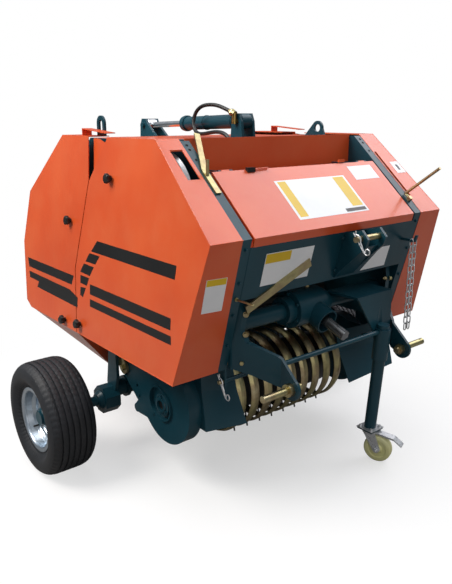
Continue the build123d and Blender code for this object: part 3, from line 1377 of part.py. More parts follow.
def make_levers():
    """Zinc levers: the flat brace on the front panel, the left latch and the right prop."""
    height = math.hypot(front_y(FOOT_Z) - front_y(FOLD_Z), FOLD_Z - FOOT_Z)
    lean = (front_y(FOLD_Z) - front_y(FOOT_Z)) / height
    rise = (FOLD_Z - FOOT_Z) / height
    out = (0, -rise, lean)

    def on_panel(x, z, gap):
        return (x, front_y(z) + out[1] * gap, z + out[2] * gap)

    gap = SEAT + LEVER_T / 2
    brace = flat_between(
        BRACE_W, LEVER_T, on_panel(*BRACE_FROM, gap), on_panel(*BRACE_TO, gap), out
    )
    tilt = math.atan2(TOP_Z - FOLD_Z, SLOPE_TOP_Y - FOLD_Y)
    up = (0, -math.sin(tilt), math.cos(tilt))

    def on_flange(x, y, gap):
        return (x, *slope_point((y, slope_z(y) - FLANGE_INSET), 0, gap))

    foot, bend = on_flange(-LATCH_X, LATCH_FOOT_Y, gap), on_flange(-LATCH_X, LATCH_BEND_Y, gap)
    tip = (-LATCH_TIP[0], LATCH_TIP[1], LATCH_TIP[2])
    latch = flat_between(LEVER_W, LEVER_T, foot, bend, up) + flat_between(LEVER_W, LEVER_T, bend, tip, up)
    bolt_foot = Vector(*on_flange(-LATCH_X, LATCH_BOLT_Y, gap + LEVER_T / 4))
    bolt = rod_between(LATCH_BOLT_R, tuple(bolt_foot), tuple(bolt_foot + Vector(0, 0, LATCH_BOLT)))
    prop_foot = on_flange(LATCH_X, PROP_FOOT_Y, SEAT + PROP_BLOCK / 2)
    prop = rod_between(PROP_R, prop_foot, PROP_BEND) + rod_between(PROP_R, PROP_BEND, PROP_TIP)
    prop = prop + Plane(origin=prop_foot, z_dir=up) * Box(PROP_BLOCK, PROP_BLOCK, PROP_BLOCK)
    prop = prop + Pos(*PROP_BEND) * Sphere(PROP_R)
    put("zinc_levers", Compound([brace, latch + bolt, prop]))


def link_outline(width, height, corner):
    """Rectangle with its corners cut off, as the outline of a chain link."""
    x, z = width / 2, height / 2
    points = [
        (x - corner, z),
        (x, z - corner),
        (x, corner - z),
        (x - corner, -z),
        (corner - x, -z),
        (-x, corner - z),
        (-x, z - corner),
        (corner - x, z),
    ]
    return make_face(Polyline(*points, close=True))


def make_chain():
    """Hold-up chain hanging doubled from a hook on the front panel, each link turned a quarter."""
    tip_y = front_y(HOOK_Z) - HOOK_REACH
    line = [
        (front_y(HOOK_Z), HOOK_Z),
        (tip_y + HOOK_T, HOOK_Z),
        (tip_y, HOOK_Z + 2 * HOOK_T),
        (tip_y - HOOK_T, HOOK_Z + 2 * HOOK_T),
        (tip_y, HOOK_Z - HOOK_T),
        (front_y(HOOK_Z - HOOK_T), HOOK_Z - HOOK_T),
    ]
    bar_y = (CHAIN_Y - HOOK_BAR, CHAIN_Y + HOOK_BAR)
    reach = CHAIN_STRANDS[1] + CHAIN_WIDTH / 2
    bar = block((HOOK_X - reach, HOOK_X + reach), bar_y, (HOOK_Z - HOOK_T, HOOK_Z))
    put("chain_hook", prism(line, HOOK_X - HOOK_HALF, HOOK_X + HOOK_HALF) + bar)
    outer = link_outline(CHAIN_WIDTH, CHAIN_PITCH + SEAT + 2 * CHAIN_WIRE, CHAIN_CORNER)
    inner = link_outline(CHAIN_WIDTH - 2 * CHAIN_WIRE, CHAIN_PITCH + SEAT, CHAIN_CORNER / 3)
    ring = Plane.XZ.offset(-CHAIN_WIRE / 2) * (outer - inner)
    link = extrude(ring, CHAIN_WIRE)
    links = []
    for shift in CHAIN_STRANDS:
        for index in range(CHAIN_LINKS):
            drop = HOOK_Z - CHAIN_PITCH / 2 + SEAT - index * CHAIN_PITCH
            turn = Rot(0, 0, 90 * ((index + 1) % 2))
            links.append(Pos(HOOK_X + shift, CHAIN_Y, drop) * turn * link)
    put("holding_chain", Compound(links))


def make_hose():
    """Hydraulic hose from the cylinder's port over the roof to its connector."""
    points = [Vector(*p) for p in HOSE_ROUTE]
    radii = []
    for i in range(1, len(points) - 1):
        before, after = points[i] - points[i - 1], points[i + 1] - points[i]
        turn = math.radians(before.get_angle(after))
        radii.append(HOSE_BEND_SHARE * min(before.length, after.length) / math.tan(turn / 2))
    path = FilletPolyline(*points, radius=radii)
    start = Plane(origin=points[0], z_dir=points[1] - points[0])
    hose = sweep(start * Circle(HOSE_R), path=path)
    put("hydraulic_hose", hose)
    print("hose radii", [round(r, 1) for r in radii])
    print("hose length", round(path.length, 1))
    print("hose volume ratio", round(hose.volume / (math.pi * HOSE_R**2 * path.length), 4))
    first = (points[1] - points[0]).normalized()
    last = (points[-1] - points[-2]).normalized()
    neck = points[0] - first * HOSE_FIT
    elbow = rod_between(HOSE_FIT_R, tuple(neck), tuple(points[0]))
    riser_foot = (neck.X, CYL_BASE[0], CYL_BASE[1] - HOSE_FIT_R)
    elbow = elbow + rod_between(HOSE_FIT_R, riser_foot, (neck.X, CYL_BASE[0], neck.Z + HOSE_RISE))
    elbow = elbow + rod_x(HOSE_FIT_R, neck.X, CYL_X - CYL_BOSS_HALF - RUN_FIT - CYL_LUG, CYL_BASE)
    tail = points[-1] + last * HOSE_FIT
    end_block = block(
        (tail.X - HOSE_BLOCK, tail.X + HOSE_BLOCK),
        (tail.Y - HOSE_BLOCK, BEAM_Y - BEAM / 2),
        (tail.Z + HOSE_BLOCK_Z[0], tail.Z + HOSE_BLOCK_Z[1]),
    )
    connector = rod_between(HOSE_FIT_R, tuple(points[-1]), tuple(tail)) + end_block
    put("hose_fittings", Compound([elbow, connector]))


make_front_covers()
make_gate_covers()
make_side_plates()
make_pulley()
make_front_panel()
make_twine_box()
make_lid()
make_roof()
make_gate_frame()
make_gate_wrap()
make_gate_underpan()
make_rollers()
make_wheels()
make_axle()
make_pickup_sides()
make_bands()
make_shields()
make_reel()
make_drive()
make_hitch()
make_clevis()
make_jack()
make_castor()
make_cylinder()
make_knobs()
make_eyes()
make_levers()
make_chain()
make_hose()

os.makedirs("parts", exist_ok=True)
for node_name, node_shape in NODES.items():
    export_step(node_shape, f"parts/{node_name}.step")
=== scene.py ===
"""Round baler: surfaces, fine detail, floor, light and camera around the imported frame."""

import math

import bmesh
import bpy
import numpy as np
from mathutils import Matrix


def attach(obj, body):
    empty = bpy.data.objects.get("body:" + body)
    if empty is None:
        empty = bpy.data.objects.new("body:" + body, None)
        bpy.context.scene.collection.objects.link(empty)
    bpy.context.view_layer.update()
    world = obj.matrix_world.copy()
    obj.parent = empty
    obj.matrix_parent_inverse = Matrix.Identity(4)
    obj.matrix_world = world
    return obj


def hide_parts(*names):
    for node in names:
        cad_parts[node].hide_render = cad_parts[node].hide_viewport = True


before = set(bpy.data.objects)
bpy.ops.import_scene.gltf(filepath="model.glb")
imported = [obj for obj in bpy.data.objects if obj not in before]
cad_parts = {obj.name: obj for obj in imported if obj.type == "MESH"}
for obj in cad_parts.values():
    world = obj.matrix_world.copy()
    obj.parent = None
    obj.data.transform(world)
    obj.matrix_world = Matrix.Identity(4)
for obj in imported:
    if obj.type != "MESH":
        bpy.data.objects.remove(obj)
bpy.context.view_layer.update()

MM = 0.001

# Camera of the photograph: where it stands in metres, where it looks, and its lens in millimetres
CAMERA_AT = (-1.4915, -1.7999, 1.2017)
CAMERA_AZIMUTH = math.radians(-39.22)
CAMERA_ELEVATION = math.radians(15.70)
LENS = 38.69
SENSOR = 36.0

# Lengths from here on are in millimetres. Heights are drawn from a level this far under the ground,
# as in the CAD source, and the finished pieces are lowered by it.
DATUM_Z = 11.0

# Side covers: half widths at the top and at the foot, (y, z) points of the side view, inner edge of the
# folded fronts, rear end of the folded foot, and radius of the folds
TOP_Z = 1147.0
TOP_HALF = 487.0
FOOT_Z = 473.0
FOOT_HALF = 572.0
SIDE_SLOPE = (FOOT_HALF - TOP_HALF) / (TOP_Z - FOOT_Z)
FOLD = (-545.0, 890.0)
SLOPE_TOP = (-253.0, TOP_Z)
FRONT_FOOT = (-433.0, FOOT_Z)
COVER_INNER = 406.0
SKIRT_Y = 150.0
EDGE_R = 1.6

# Films lie this far off the sheet, and a second film twice as far
FILM_LIFT = 0.3

# Wheels: centre of the right one, ring of nuts with its turn in pitches and its seat off the centre, and
# the valve's place beside the axle
WHEEL_X = 701.5
WHEEL_Y = 128.0
WHEEL_Z = 209.0
NUT_COUNT = 5
NUT_RING_R = 56.0
NUT_TURN = 0.35
NUT_SEAT = 3.2
VALVE_OFF = (62.0, -56.0)

# Tread: grooves along the tyre's width, their depth, and the nicks at their edges and on the shoulders
TREAD_GROOVES = (-52.0, -31.0, -10.5, 10.5, 31.0, 52.0)
GROOVE_DEPTH = 6.0
GROOVE_HALF = 2.8
NICK_DEPTH = 2.2
NICK_BAND = (2.4, 6.5)
SHOULDER_DEPTH = 1.8
SHOULDER_BAND = (62.0, 75.0)
NICKS_ROUND = 60

# Pickup reel and the bearing housings on its side plates, as (y, z) round the side view
REEL = (-190.0, 288.0)
HOUSING_X = 447.2
HOUSING_BOLT_X = 454.0
HOUSING_BOLTS = 3
HOUSING_BOLT_R = 31.0
PICKUP_BOLTS = ((-60.0, 390.0), (-120.0, 412.0), (-40.0, 268.0))

# Knobs on the covers: (y, z) places, lobes round the rim, half their depth, and the stretch of the knob
# that they cover
FRONT_KNOBS = ((-12.0, 1020.0), (142.0, 510.0))
GATE_KNOBS = ((256.0, 856.0), (258.0, 497.0))
KNOB_LOBES = 5
LOBE_DEPTH = 2.6
LOBES_FROM, LOBES_TO = 6.5, 21.9

# Chain on its hook, in two strands: head of its middle line, links and their pitch, radius of the wire,
# and radius of a link's ends with half the length between them
CHAIN_TOP = (338.0, -570.0, 794.8)
CHAIN_STRANDS = (-9.5, 9.5)
CHAIN_LINKS = 14
CHAIN_PITCH = 23.0
CHAIN_WIRE_R = 2.0
LINK_R = 6.0
LINK_HALF = 7.65

# Bolts and nuts, by their size across the flats
HITCH_BOLT = 12.0
FLANGE_BOLT = 8.0
GEARBOX_BOLT = 9.0
GEARBOX_PLUG = 15.0
CLEVIS_BOLT = 10.0
HOUSING_BOLT = 7.0
PICKUP_BOLT = 8.0
FOOT_BOLT = 9.0
CASTOR_NUT = 15.0
WHEEL_NUT = 13.0
STUD = 4.0

# Pins that the spring clips hold: place and radius, and the directions of the clip's leg and of its width
CLIP_WIRE_R = 2.0
TOP_PIN = (-5.0, -604.0, 852.0)
TOP_PIN_R = 9.5
TOP_CLIP_LIES = ((0, -0.62, -0.78), (0, -0.78, 0.62))
LIFT_PIN = (380.0, -421.0, 431.0)
LIFT_CLIP_X = 389.0
LIFT_PIN_R = 7.0
LIFT_CLIP_LIES = ((0, -0.5, -0.87), (0, -0.87, 0.5))

# Bent hitch plates, seen from above: outward direction, bend, run to the side, how far the bolts sit off
# the middle of the plate, and the bolts as (y, z)
HITCH_OUT = (0.787, -0.617)
HITCH_BEND = (268.0, -565.0)
HITCH_RUN = 0.784
HITCH_HALF = 5.2
HITCH_BOLTS = ((-478.0, 652.0), (-478.0, 590.0), (-470.0, 500.0))

# Bolts of the flanges, gearbox and clevis, the stop pin of the front panel and the holes in the flanges
FLANGE_X = 391.0
FLANGE_BOLTS_Z = (860.0, 760.0, 660.0, 560.0)
GEARBOX = (-400.0, 598.0)
GEARBOX_FACES = ((-86.0, -1), (46.0, 1))
GEARBOX_BOLTS = 6
GEARBOX_BOLT_R = 53.0
GEARBOX_PLUG_AT = (8.0, -392.0, 659.5)
CLEVIS_BOLTS_X = (11.0, 115.0)
CLEVIS_BOLTS_Z = (738.0, 846.0)
STOP_PIN_Z = 711.0
HOLES_X = 392.0
HOLES_Y = (-272.0, -286.0, -317.0)

# Jack, and the castor that trails its foot, turned to the side. Its pedal carries ribs at these distances
# from the post, and its height is a (distance, z) point and the fall from there on.
JACK_X = 205.0
JACK_FOOT_Y = -542.0
FOOT_PLATE_HALF = 34.0
FOOT_PLATE_Z = (132.2, 135.2)
FOOT_BOLT_OFF = 24.0
CASTOR_TURN = math.radians(20.0)
CASTOR_TRAIL = 34.0
CASTOR_AXLE_Z = 61.0
CASTOR_RACE_Z = 127.0
CASTOR_NUT_OFF = 22.2
PEDAL_RIBS = (74.0, 82.0, 90.0, 98.0, 106.0, 114.0)
PEDAL_HALF = 14.0
PEDAL_FROM = (60.0, 118.0)
PEDAL_FALL = 0.3
RIB_R = 1.3

# Gate cylinder: pivot of the barrel, direction of its rod, and what sits along it
CYLINDER_PIVOT = (-60.0, -137.0, 1195.0)
CYLINDER_RUN = (0.0, 580.0, -19.0)
PIVOT_CAP_X = 20.2
GLAND_AT = 314.0
RINGS_AT = (40.0, 196.0)

# Tab, catch and rod on the upper edge of the lid: spans in x and y, and heights over the slope
TAB_X = (182.0, 210.0)
TAB_Y = (-358.0, -352.0)
TAB_HEIGHTS = (-1.0, 8.0)
CATCH_X = (-238.0, -208.0)
CATCH_Y = (-368.0, -356.0)
CATCH_HEIGHTS = (-2.0, 12.0)
CATCH_ROD = ((-208.0, -362.0, 6.0), (-180.0, -361.0, 6.5), (-150.0, -360.0, 7.0))
CATCH_ROD_R = 2.6

# Hydraulic hose, the same route as in the CAD source, and its length along that route
HOSE_D = 13.0
HOSE_ROUTE = [
    (-100.0, -118.0, 1226.0),
    (-101.0, -76.0, 1241.0),
    (-103.0, -28.0, 1250.0),
    (-108.0, 27.0, 1247.0),
    (-114.0, 56.0, 1227.0),
    (-120.0, 65.0, 1195.0),
    (-126.0, 50.0, 1164.0),
    (-132.0, 20.0, 1151.0),
    (-139.0, -22.0, 1152.0),
    (-146.0, -64.0, 1157.0),
    (-151.0, -108.0, 1161.0),
    (-155.0, -150.0, 1158.0),
    (-157.0, -184.0, 1142.0),
    (-158.0, -201.0, 1108.0),
]

# Patterns of painted sheet: size of one cell, detail and roughness of the noise. Shade drifts over a whole
# panel, buckles are a hand's length across, rub marks a finger's width, and peel is that of a sprayed coat.
# Specks of dust are finer in life, and are drawn as coarse as this so that they show.
SHADE = (333.3, 2.0, 0.55)
BUCKLE = (200.0, 1.0, 0.55)
CLOUD = (111.1, 6.0, 0.68)
RUB = (14.3, 4.0, 0.7)
SPECK = (5.26, 3.0, 0.7)
PEEL = (2.38, 2.0, 0.55)

# Rub marks run upright, so their cells are stretched along z. Share is how far they roughen the paint.
RUB_STRETCH = (1.0, 1.0, 0.12)
RUB_SHARE = 0.24

# Dust lies where the cloud and the specks are high: ranges that each is spread over
DUST_CLOUD = (-0.30, 0.42)
DUST_SPECK = (0.2, 0.9)

# Plated steel has a grain over a wide drift with stains in it, and mouldings have a skin over a mottle.
# Grain is a pattern like those above. Drift and mottle are sizes of one cell, and stains and skin are how
# many of theirs lie across it. Grain and skin are a tenth of this or less in life, and are drawn coarser so
# that they show at all.
GRAIN = (1.11, 2.0, 0.55)
DRIFT_CELL = 71.4
STAINS_IN_DRIFT = 4
MOTTLE_CELL = 83.3
SKIN_IN_MOTTLE = 60

# Heights of the bumps
BUCKLE_DEPTH = 1.2
PEEL_DEPTH = 0.05
GRAIN_DEPTH = 0.04
SKIN_DEPTH = 0.1
TYRE_SKIN_DEPTH = 0.25
FILM_DEPTH = 0.02

# Kinds of shader node
NOISE = "ShaderNodeTexNoise"
RAMP = "ShaderNodeValToRGB"
RANGE = "ShaderNodeMapRange"
MATHS = "ShaderNodeMath"
MIX = "ShaderNodeMix"
BUMP = "ShaderNodeBump"
PRINCIPLED = "ShaderNodeBsdfPrincipled"
SURFACE = "ShaderNodeOutputMaterial"
LIGHT_PATH = "ShaderNodeLightPath"


def linear(code):
    """Linear RGBA of an sRGB hex colour."""
    values = [int(code[i : i + 2], 16) / 255 for i in (1, 3, 5)]
    return tuple(v / 12.92 if v <= 0.04045 else ((v + 0.055) / 1.055) ** 2.4 for v in values) + (1.0,)


def pattern(place, cell, detail, rough):
    """Inputs of a noise over coordinates in metres; its scale is one over the cell, given in millimetres."""
    return [("Vector", place), ("Scale", 1.0 / (cell * MM)), ("Detail", detail), ("Roughness", rough)]


def between(factor, low, high):
    """Inputs that spread a factor from 0 to 1 over low to high."""
    return [("Value", factor), ("To Min", low), ("To Max", high)]


def add(tree, kind, at, inputs=(), stops=(), **settings):
    """Adds one shader node; inputs pair sockets with values or nodes, stops a ramp's places with colours."""
    node = tree.nodes.new(kind)
    node.location = at
    for key, value in settings.items():
        setattr(node, key, value)
    for socket, value in inputs:
        if isinstance(value, bpy.types.Node):
            value = value.outputs[0]
        if isinstance(value, bpy.types.NodeSocket):
            tree.links.new(value, node.inputs[socket])
        else:
            node.inputs[socket].default_value = value
    if stops:
        marks = node.color_ramp.elements
        for mark, (place, code) in ((marks[0], stops[0]), (marks[1], stops[-1])):
            mark.position = place
            mark.color = linear(code)
        for place, code in stops[1:-1]:
            marks.new(place).color = linear(code)
    return node


def new_material(name):
    """Empty material; returns it, its node tree and its object coordinates."""
    material = bpy.data.materials.new(name)
    material.use_nodes = True
    tree = material.node_tree
    tree.nodes.clear()
    return material, tree, add(tree, "ShaderNodeTexCoord", (-1200, 0)).outputs["Object"]


def painted_sheet(name, shades, rough, dust, coat=0.35, gloss=0.5):
    """Sprayed or powder-coated steel.

    Colour is three shades over slow noise, with dust where cloud times speck is high. Roughness is a level
    set by the cloud, plus noise drawn out upwards for what rubbed along it. Height is peel over buckles.
    """
    material, tree, place = new_material(name)
    broad = add(tree, NOISE, (-900, 300), pattern(place, *SHADE))
    colour = add(tree, RAMP, (-600, 300), [("Fac", broad)], list(zip((0.25, 0.5, 0.78), shades)))
    cloud = add(tree, NOISE, (-900, -300), pattern(place, *CLOUD))
    speck = add(tree, NOISE, (-900, -600), pattern(place, *SPECK))
    settled = add(tree, RANGE, (-600, -300), between(cloud, *DUST_CLOUD))
    grains = add(tree, RANGE, (-600, -600), between(speck, *DUST_SPECK))
    product = [(0, settled), (1, grains)]
    layer = add(tree, MATHS, (-300, -400), product, operation="MULTIPLY", use_clamp=True)
    tints = [(0, layer), (6, colour), (7, linear(dust))]
    mixed = add(tree, MIX, (0, 300), tints, data_type="RGBA")

    drawn = add(tree, "ShaderNodeMapping", (-1050, -900), [("Vector", place), ("Scale", RUB_STRETCH)])
    wear = add(tree, NOISE, (-900, -900), pattern(drawn, *RUB))
    base = add(tree, RANGE, (-600, 0), between(cloud, rough - 0.18, rough - 0.04))
    total = [(0, wear), (1, RUB_SHARE), (2, base)]
    rubbed = add(tree, MATHS, (-300, -900), total, operation="MULTIPLY_ADD")

    waves = add(tree, NOISE, (-300, -700), pattern(place, *BUCKLE))
    sheet = [("Height", waves), ("Strength", 1.0), ("Distance", BUCKLE_DEPTH * MM)]
    buckle = add(tree, BUMP, (0, -700), sheet)
    spray = add(tree, NOISE, (-900, 0), pattern(place, *PEEL))
    skin = [("Height", spray), ("Strength", 0.35), ("Distance", PEEL_DEPTH * MM), ("Normal", buckle)]
    peel = add(tree, BUMP, (300, -200), skin)

    finish = [
        ("Base Color", mixed.outputs[2]),
        ("Roughness", rubbed),
        ("Normal", peel),
        ("Coat Normal", peel),
        ("Specular IOR Level", gloss),
        ("Coat Weight", coat),
        ("Coat Roughness", 0.16),
    ]
    shader = add(tree, PRINCIPLED, (600, 0), finish)
    add(tree, SURFACE, (900, 0), [("Surface", shader)])
    return material


def plated_steel(name, stops, rough, drift_cell=DRIFT_CELL, metal=1.0):
    """Bare or plated metal: colour is a ramp over slow noise, roughness follows stains, height is grain."""
    material, tree, place = new_material(name)
    drift = add(tree, NOISE, (-900, 300), pattern(place, drift_cell, 3.0, 0.6))
    colour = add(tree, RAMP, (-600, 300), [("Fac", drift)], stops)
    stain = add(tree, NOISE, (-900, -300), pattern(place, drift_cell / STAINS_IN_DRIFT, 4.0, 0.7))
    dull = add(tree, RANGE, (-600, 0), between(stain, rough - 0.1, rough + 0.18))
    drawn = add(tree, NOISE, (-900, 0), pattern(place, *GRAIN))
    skin = [("Height", drawn), ("Strength", 0.25), ("Distance", GRAIN_DEPTH * MM)]
    grain = add(tree, BUMP, (300, -200), skin)
    finish = [("Base Color", colour), ("Roughness", dull), ("Normal", grain), ("Metallic", metal)]
    shader = add(tree, PRINCIPLED, (600, 0), finish)
    add(tree, SURFACE, (900, 0), [("Surface", shader)])
    return material


def moulded(name, low, high, rough, mottle_cell=MOTTLE_CELL, depth=SKIN_DEPTH):
    """Moulded rubber, plastic or film: colour and roughness follow a faint mottle, height is a fine skin."""
    material, tree, place = new_material(name)
    mottle = add(tree, NOISE, (-900, 300), pattern(place, mottle_cell, 4.0, 0.6))
    colour = add(tree, RAMP, (-600, 300), [("Fac", mottle)], [(0.3, low), (0.72, high)])
    dull = add(tree, RANGE, (-600, 0), between(mottle, rough - 0.08, rough + 0.08))
    pores = add(tree, NOISE, (-900, 0), pattern(place, mottle_cell / SKIN_IN_MOTTLE, 3.0, 0.55))
    skin = add(tree, BUMP, (300, -200), [("Height", pores), ("Strength", 0.5), ("Distance", depth * MM)])
    finish = [("Base Color", colour), ("Roughness", dull), ("Normal", skin)]
    shader = add(tree, PRINCIPLED, (600, 0), finish)
    add(tree, SURFACE, (900, 0), [("Surface", shader)])
    return material


MATERIALS = {
    # Steel sheet, powder coated: an even satin orange whose highlights break up on its orange peel
    "orange": painted_sheet(
        "orange_powder_coated_sheet", ("#D04C1E", "#DA5524", "#E3602C"), 0.36, "#D98A5C"
    ),
    # Welded steel and castings, sprayed: dark blue-green, flatter than powder, greyer where dust settles
    "teal": painted_sheet(
        "teal_sprayed_steel", ("#0E343F", "#123E4B", "#184B59"), 0.34, "#24404A", 0.1, 0.3
    ),
    # Rolled steel of the chamber rollers: nearly black with a faint mottle, and dull; the near-black is
    # painted shade for the dark inside of the bale chamber
    "roller": moulded("rolled_steel_painted_shade", "#14181A", "#24292B", 0.75, 125.0),
    # Steel, zinc plated and yellow passivated: pale gold that drifts to grey and straw
    "yellow_zinc": plated_steel(
        "yellow_zinc_plated_steel",
        [(0.2, "#847D5C"), (0.42, "#B8AF80"), (0.58, "#A69574"), (0.8, "#D2CBA6")],
        0.32,
    ),
    # Steel, bright zinc plated: silvery, with soft highlights
    "bright_zinc": plated_steel(
        "bright_zinc_plated_steel", [(0.25, "#BCBFC2"), (0.75, "#ECEEF0")], 0.26, metal=0.65
    ),
    # Piston rod, hard chromed and ground: the sharpest mirror on the machine
    "chrome": plated_steel("hard_chromed_rod", [(0.2, "#D4D6D8"), (0.8, "#EEF0F1")], 0.14),
    # Splined shaft, milled and left bare: mid grey with a dull sheen
    "machined": plated_steel("machined_steel", [(0.2, "#6E7174"), (0.8, "#9FA2A4")], 0.30, 25.0),
    # Hose couplings, turned brass: warm yellow highlights
    "brass": plated_steel("turned_brass", [(0.2, "#8F7440"), (0.8, "#C5A562")], 0.28),
    # Wheel rims, hot galvanised: cool silver in broad cloudy patches
    "silver": plated_steel("galvanised_rim", [(0.2, "#9AA8B5"), (0.8, "#BCC7D1")], 0.28, 125.0),
    # Tyres, vulcanised rubber: soft black, lifted by road dust
    "tyre": moulded("moulded_tyre_rubber", "#12151A", "#21252B", 0.62, depth=TYRE_SKIN_DEPTH),
    # Hose, rubber extruded over a wire braid: black with a faint gloss
    "hose": moulded("braided_hose_rubber", "#0C0D0F", "#17181A", 0.42, 55.6),
    # Knobs, moulded thermoplastic: black with small highlights. On the pickup reel the same black is painted
    # shade for the dark inside of the pickup
    "knob": moulded("black_plastic_and_reel_shade", "#0B0C0D", "#151617", 0.42),
    # Castor tread, cast nylon: waxy pale yellow
    "nylon": moulded("cast_nylon", "#E4E19E", "#F3F1BE", 0.36, 166.7),
    # Stripes, cut vinyl film: black, flatter than the paint round it
    "stripe": moulded("black_vinyl_film", "#090A0B", "#111213", 0.40, 250.0, FILM_DEPTH),
    # Blank plates, vinyl film: clean white
    "plate": moulded("white_vinyl_film", "#E6EAEE", "#F6F8FA", 0.40, 250.0, FILM_DEPTH),
    # Bands on the plates, vinyl film: plain yellow
    "yellow_film": moulded("yellow_vinyl_film", "#D9B412", "#EAC71E", 0.40, 250.0, FILM_DEPTH),
    # Punched holes: black discs of painted shade for the dark inside the holes
    "hole": moulded("painted_hole_shade", "#030404", "#060708", 0.9, 250.0, FILM_DEPTH),
}

NODE_MATERIAL = {
    "orange": [
        "front_covers",
        "gate_covers",
        "twine_lid",
        "twine_box",
        "gate_underpan",
        "gate_wrap",
        "roof_sheet",
        "gate_top_flaps",
    ],
    "yellow_zinc": ["hitch_pins", "top_link_pin", "pickup_bands", "zinc_levers", "pickup_hangers"],
    "bright_zinc": ["castor_fork", "drive_pulley"],
    # Chamber rollers: near-black as painted shade for the inside of the bale chamber
    "roller": ["starter_roller", "floor_roller", "front_roller", "gate_lower_roller", "gate_rear_roller"],
    "machined": ["drive_shaft"],
    "chrome": ["cylinder_rod"],
    "brass": ["hose_fittings"],
    # The pickup reel takes the knobs' black as painted shade for the dark inside of the pickup
    "knob": ["pickup_reel"],
}


def dress_nodes():
    """Gives every carried-over CAD node its material; what isn't listed has the frame's paint."""
    chosen = {node: key for key, group in NODE_MATERIAL.items() for node in group}
    for name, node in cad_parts.items():
        node.data.materials.clear()
        node.data.materials.append(MATERIALS[chosen.get(name, "teal")])


def unit(vectors):
    """Vectors of length one in the same directions: each over its own length."""
    vectors = np.asarray(vectors, float)
    return vectors / np.linalg.norm(vectors, axis=-1, keepdims=True)


def axes_on(direction):
    """Two unit vectors square to a direction, and the direction, as a right-handed set."""
    w = unit(direction)
    u = unit(np.cross(w, (0.0, 0.0, 1.0) if abs(w[2]) < 0.9 else (1.0, 0.0, 0.0)))
    return u, np.cross(w, u), w


def grid(points, close_rows=False, close_cols=False):
    """Quads between neighbours in an array of points (rows, columns, 3)."""
    rows, cols = points.shape[:2]
    index = np.arange(rows * cols).reshape(rows, cols)
    if close_rows:
        index = np.vstack([index, index[:1]])
    if close_cols:
        index = np.hstack([index, index[:, :1]])
    corners = (index[:-1, :-1], index[1:, :-1], index[1:, 1:], index[:-1, 1:])
    return points.reshape(-1, 3), np.stack(corners, -1).reshape(-1, 4).tolist()


def turned(profile, origin, direction, count=32, ripple=None, start=0.0, closed=False):
    """Profile of (along, radius) turned about a line: origin + along w + radius (u cos a + v sin a)."""
    u, v, w = axes_on(direction)
    profile = np.asarray(profile, float)
    turns = start + 2 * np.pi * np.arange(count)[:, None] / count
    along, radius, angle = np.broadcast_arrays(profile[:, 0], profile[:, 1], turns)
    if ripple:
        radius = radius - ripple(along, angle)
    spoke = np.cos(angle)[..., None] * u + np.sin(angle)[..., None] * v
    points = np.asarray(origin, float) + along[..., None] * w + radius[..., None] * spoke
    points, faces = grid(points, close_rows=True, close_cols=closed)
    if not closed:
        cols = len(profile)
        open_ends = [end for end in (0, cols - 1) if profile[end, 1] > 0]
        faces += [[row * cols + end for row in range(count)] for end in open_ends]
    return points, faces


def tube(path, radius, count=10, closed=False):
    """Round bar along a flat path: place + radius (u cos a + v sin a); u keeps its angle to the plane."""
    path = np.asarray(path, float)
    ahead = unit(np.roll(path, -1, 0) - np.roll(path, 1, 0) if closed else np.gradient(path, axis=0))
    start = axes_on(ahead[0])[0]
    spokes = path - path.mean(0)
    area = np.cross(spokes, np.roll(spokes, -1, 0)).sum(0)
    normal = unit(area) if np.abs(area).max() > 1e-6 else start
    across = np.cross(normal, ahead)
    u = (start @ normal) * normal + (start @ across[0]) * across
    angle = -2 * np.pi * np.arange(count)[:, None] / count
    rings = np.cos(angle) * u[:, None] + np.sin(angle) * np.cross(ahead, u)[:, None]
    points, faces = grid(path[:, None] + radius * rings, close_rows=closed, close_cols=True)
    if not closed:
        last = len(points) - count
        faces += [list(range(count)), list(range(last, last + count))[::-1]]
    return points, faces


def flowing(points, steps=6):
    """Catmull-Rom curve through points: (2b + (c-a)t + (2a-5b+4c-d)t^2 + (3b-a-3c+d)t^3) / 2."""
    points = np.asarray(points, float)
    ends = np.vstack([2 * points[0] - points[1], points, 2 * points[-1] - points[-2]])
    a, b, c, d = (ends[first : len(ends) - 3 + first, None] for first in range(4))
    t = (np.arange(steps) / steps)[:, None]
    curve = (2 * b + (c - a) * t + (2 * a - 5 * b + 4 * c - d) * t**2 + (3 * b - a - 3 * c + d) * t**3) / 2
    return np.vstack([curve.reshape(-1, points.shape[1]), points[-1:]])


def box(x, y, z):
    """Box between three pairs of coordinates."""
    corners = np.array([(a, b, c) for a in x for b in y for c in z], float)
    faces = [[0, 1, 3, 2], [4, 6, 7, 5], [0, 4, 5, 1], [2, 3, 7, 6], [0, 2, 6, 4], [1, 5, 7, 3]]
    return corners, faces


def bolt(place, direction, across, stud=0.0):
    """Hexagon head, across its flats, on a washer, with a stud through it where it is a nut."""
    radius = across / math.sqrt(3)
    thick = across / 8
    high = thick + across * 0.62
    washer = [(0, radius * 1.28), (thick, radius * 1.28), (thick, 0)]
    head = [(thick, radius), (high * 0.9, radius), (high, radius * 0.86), (high, 0)]
    shapes = [turned(washer, place, direction, count=24), turned(head, place, direction, count=6)]
    if stud:
        tip = high + stud
        end = [(high, stud), (tip - 1, stud), (tip, stud - 1), (tip, 0)]
        shapes.append(turned(end, place, direction, count=16))
    return shapes


def clip(place, leg, side, pin_r):
    """Spring clip of wire: a straight leg through the pin, an eye, and a wavy leg round the pin."""
    round_r = pin_r + 2.4
    flat = [(-24, 0), (0, 0), (26, 0), (44, 0), (56, 4), (60, 13), (53, 21), (44, 18), (43, 9), (49, 4)]
    flat += [(38, 2), (27, 5), (15, 0.6 * round_r), (7, round_r), (0, round_r + 1.5), (-8, round_r)]
    flat += [(-15, 0.5 * round_r), (-24, round_r)]
    path = np.asarray(place, float) + np.array(flat) @ np.array([unit(leg), unit(side)])
    return tube(flowing(path, steps=5), CLIP_WIRE_R, count=8)


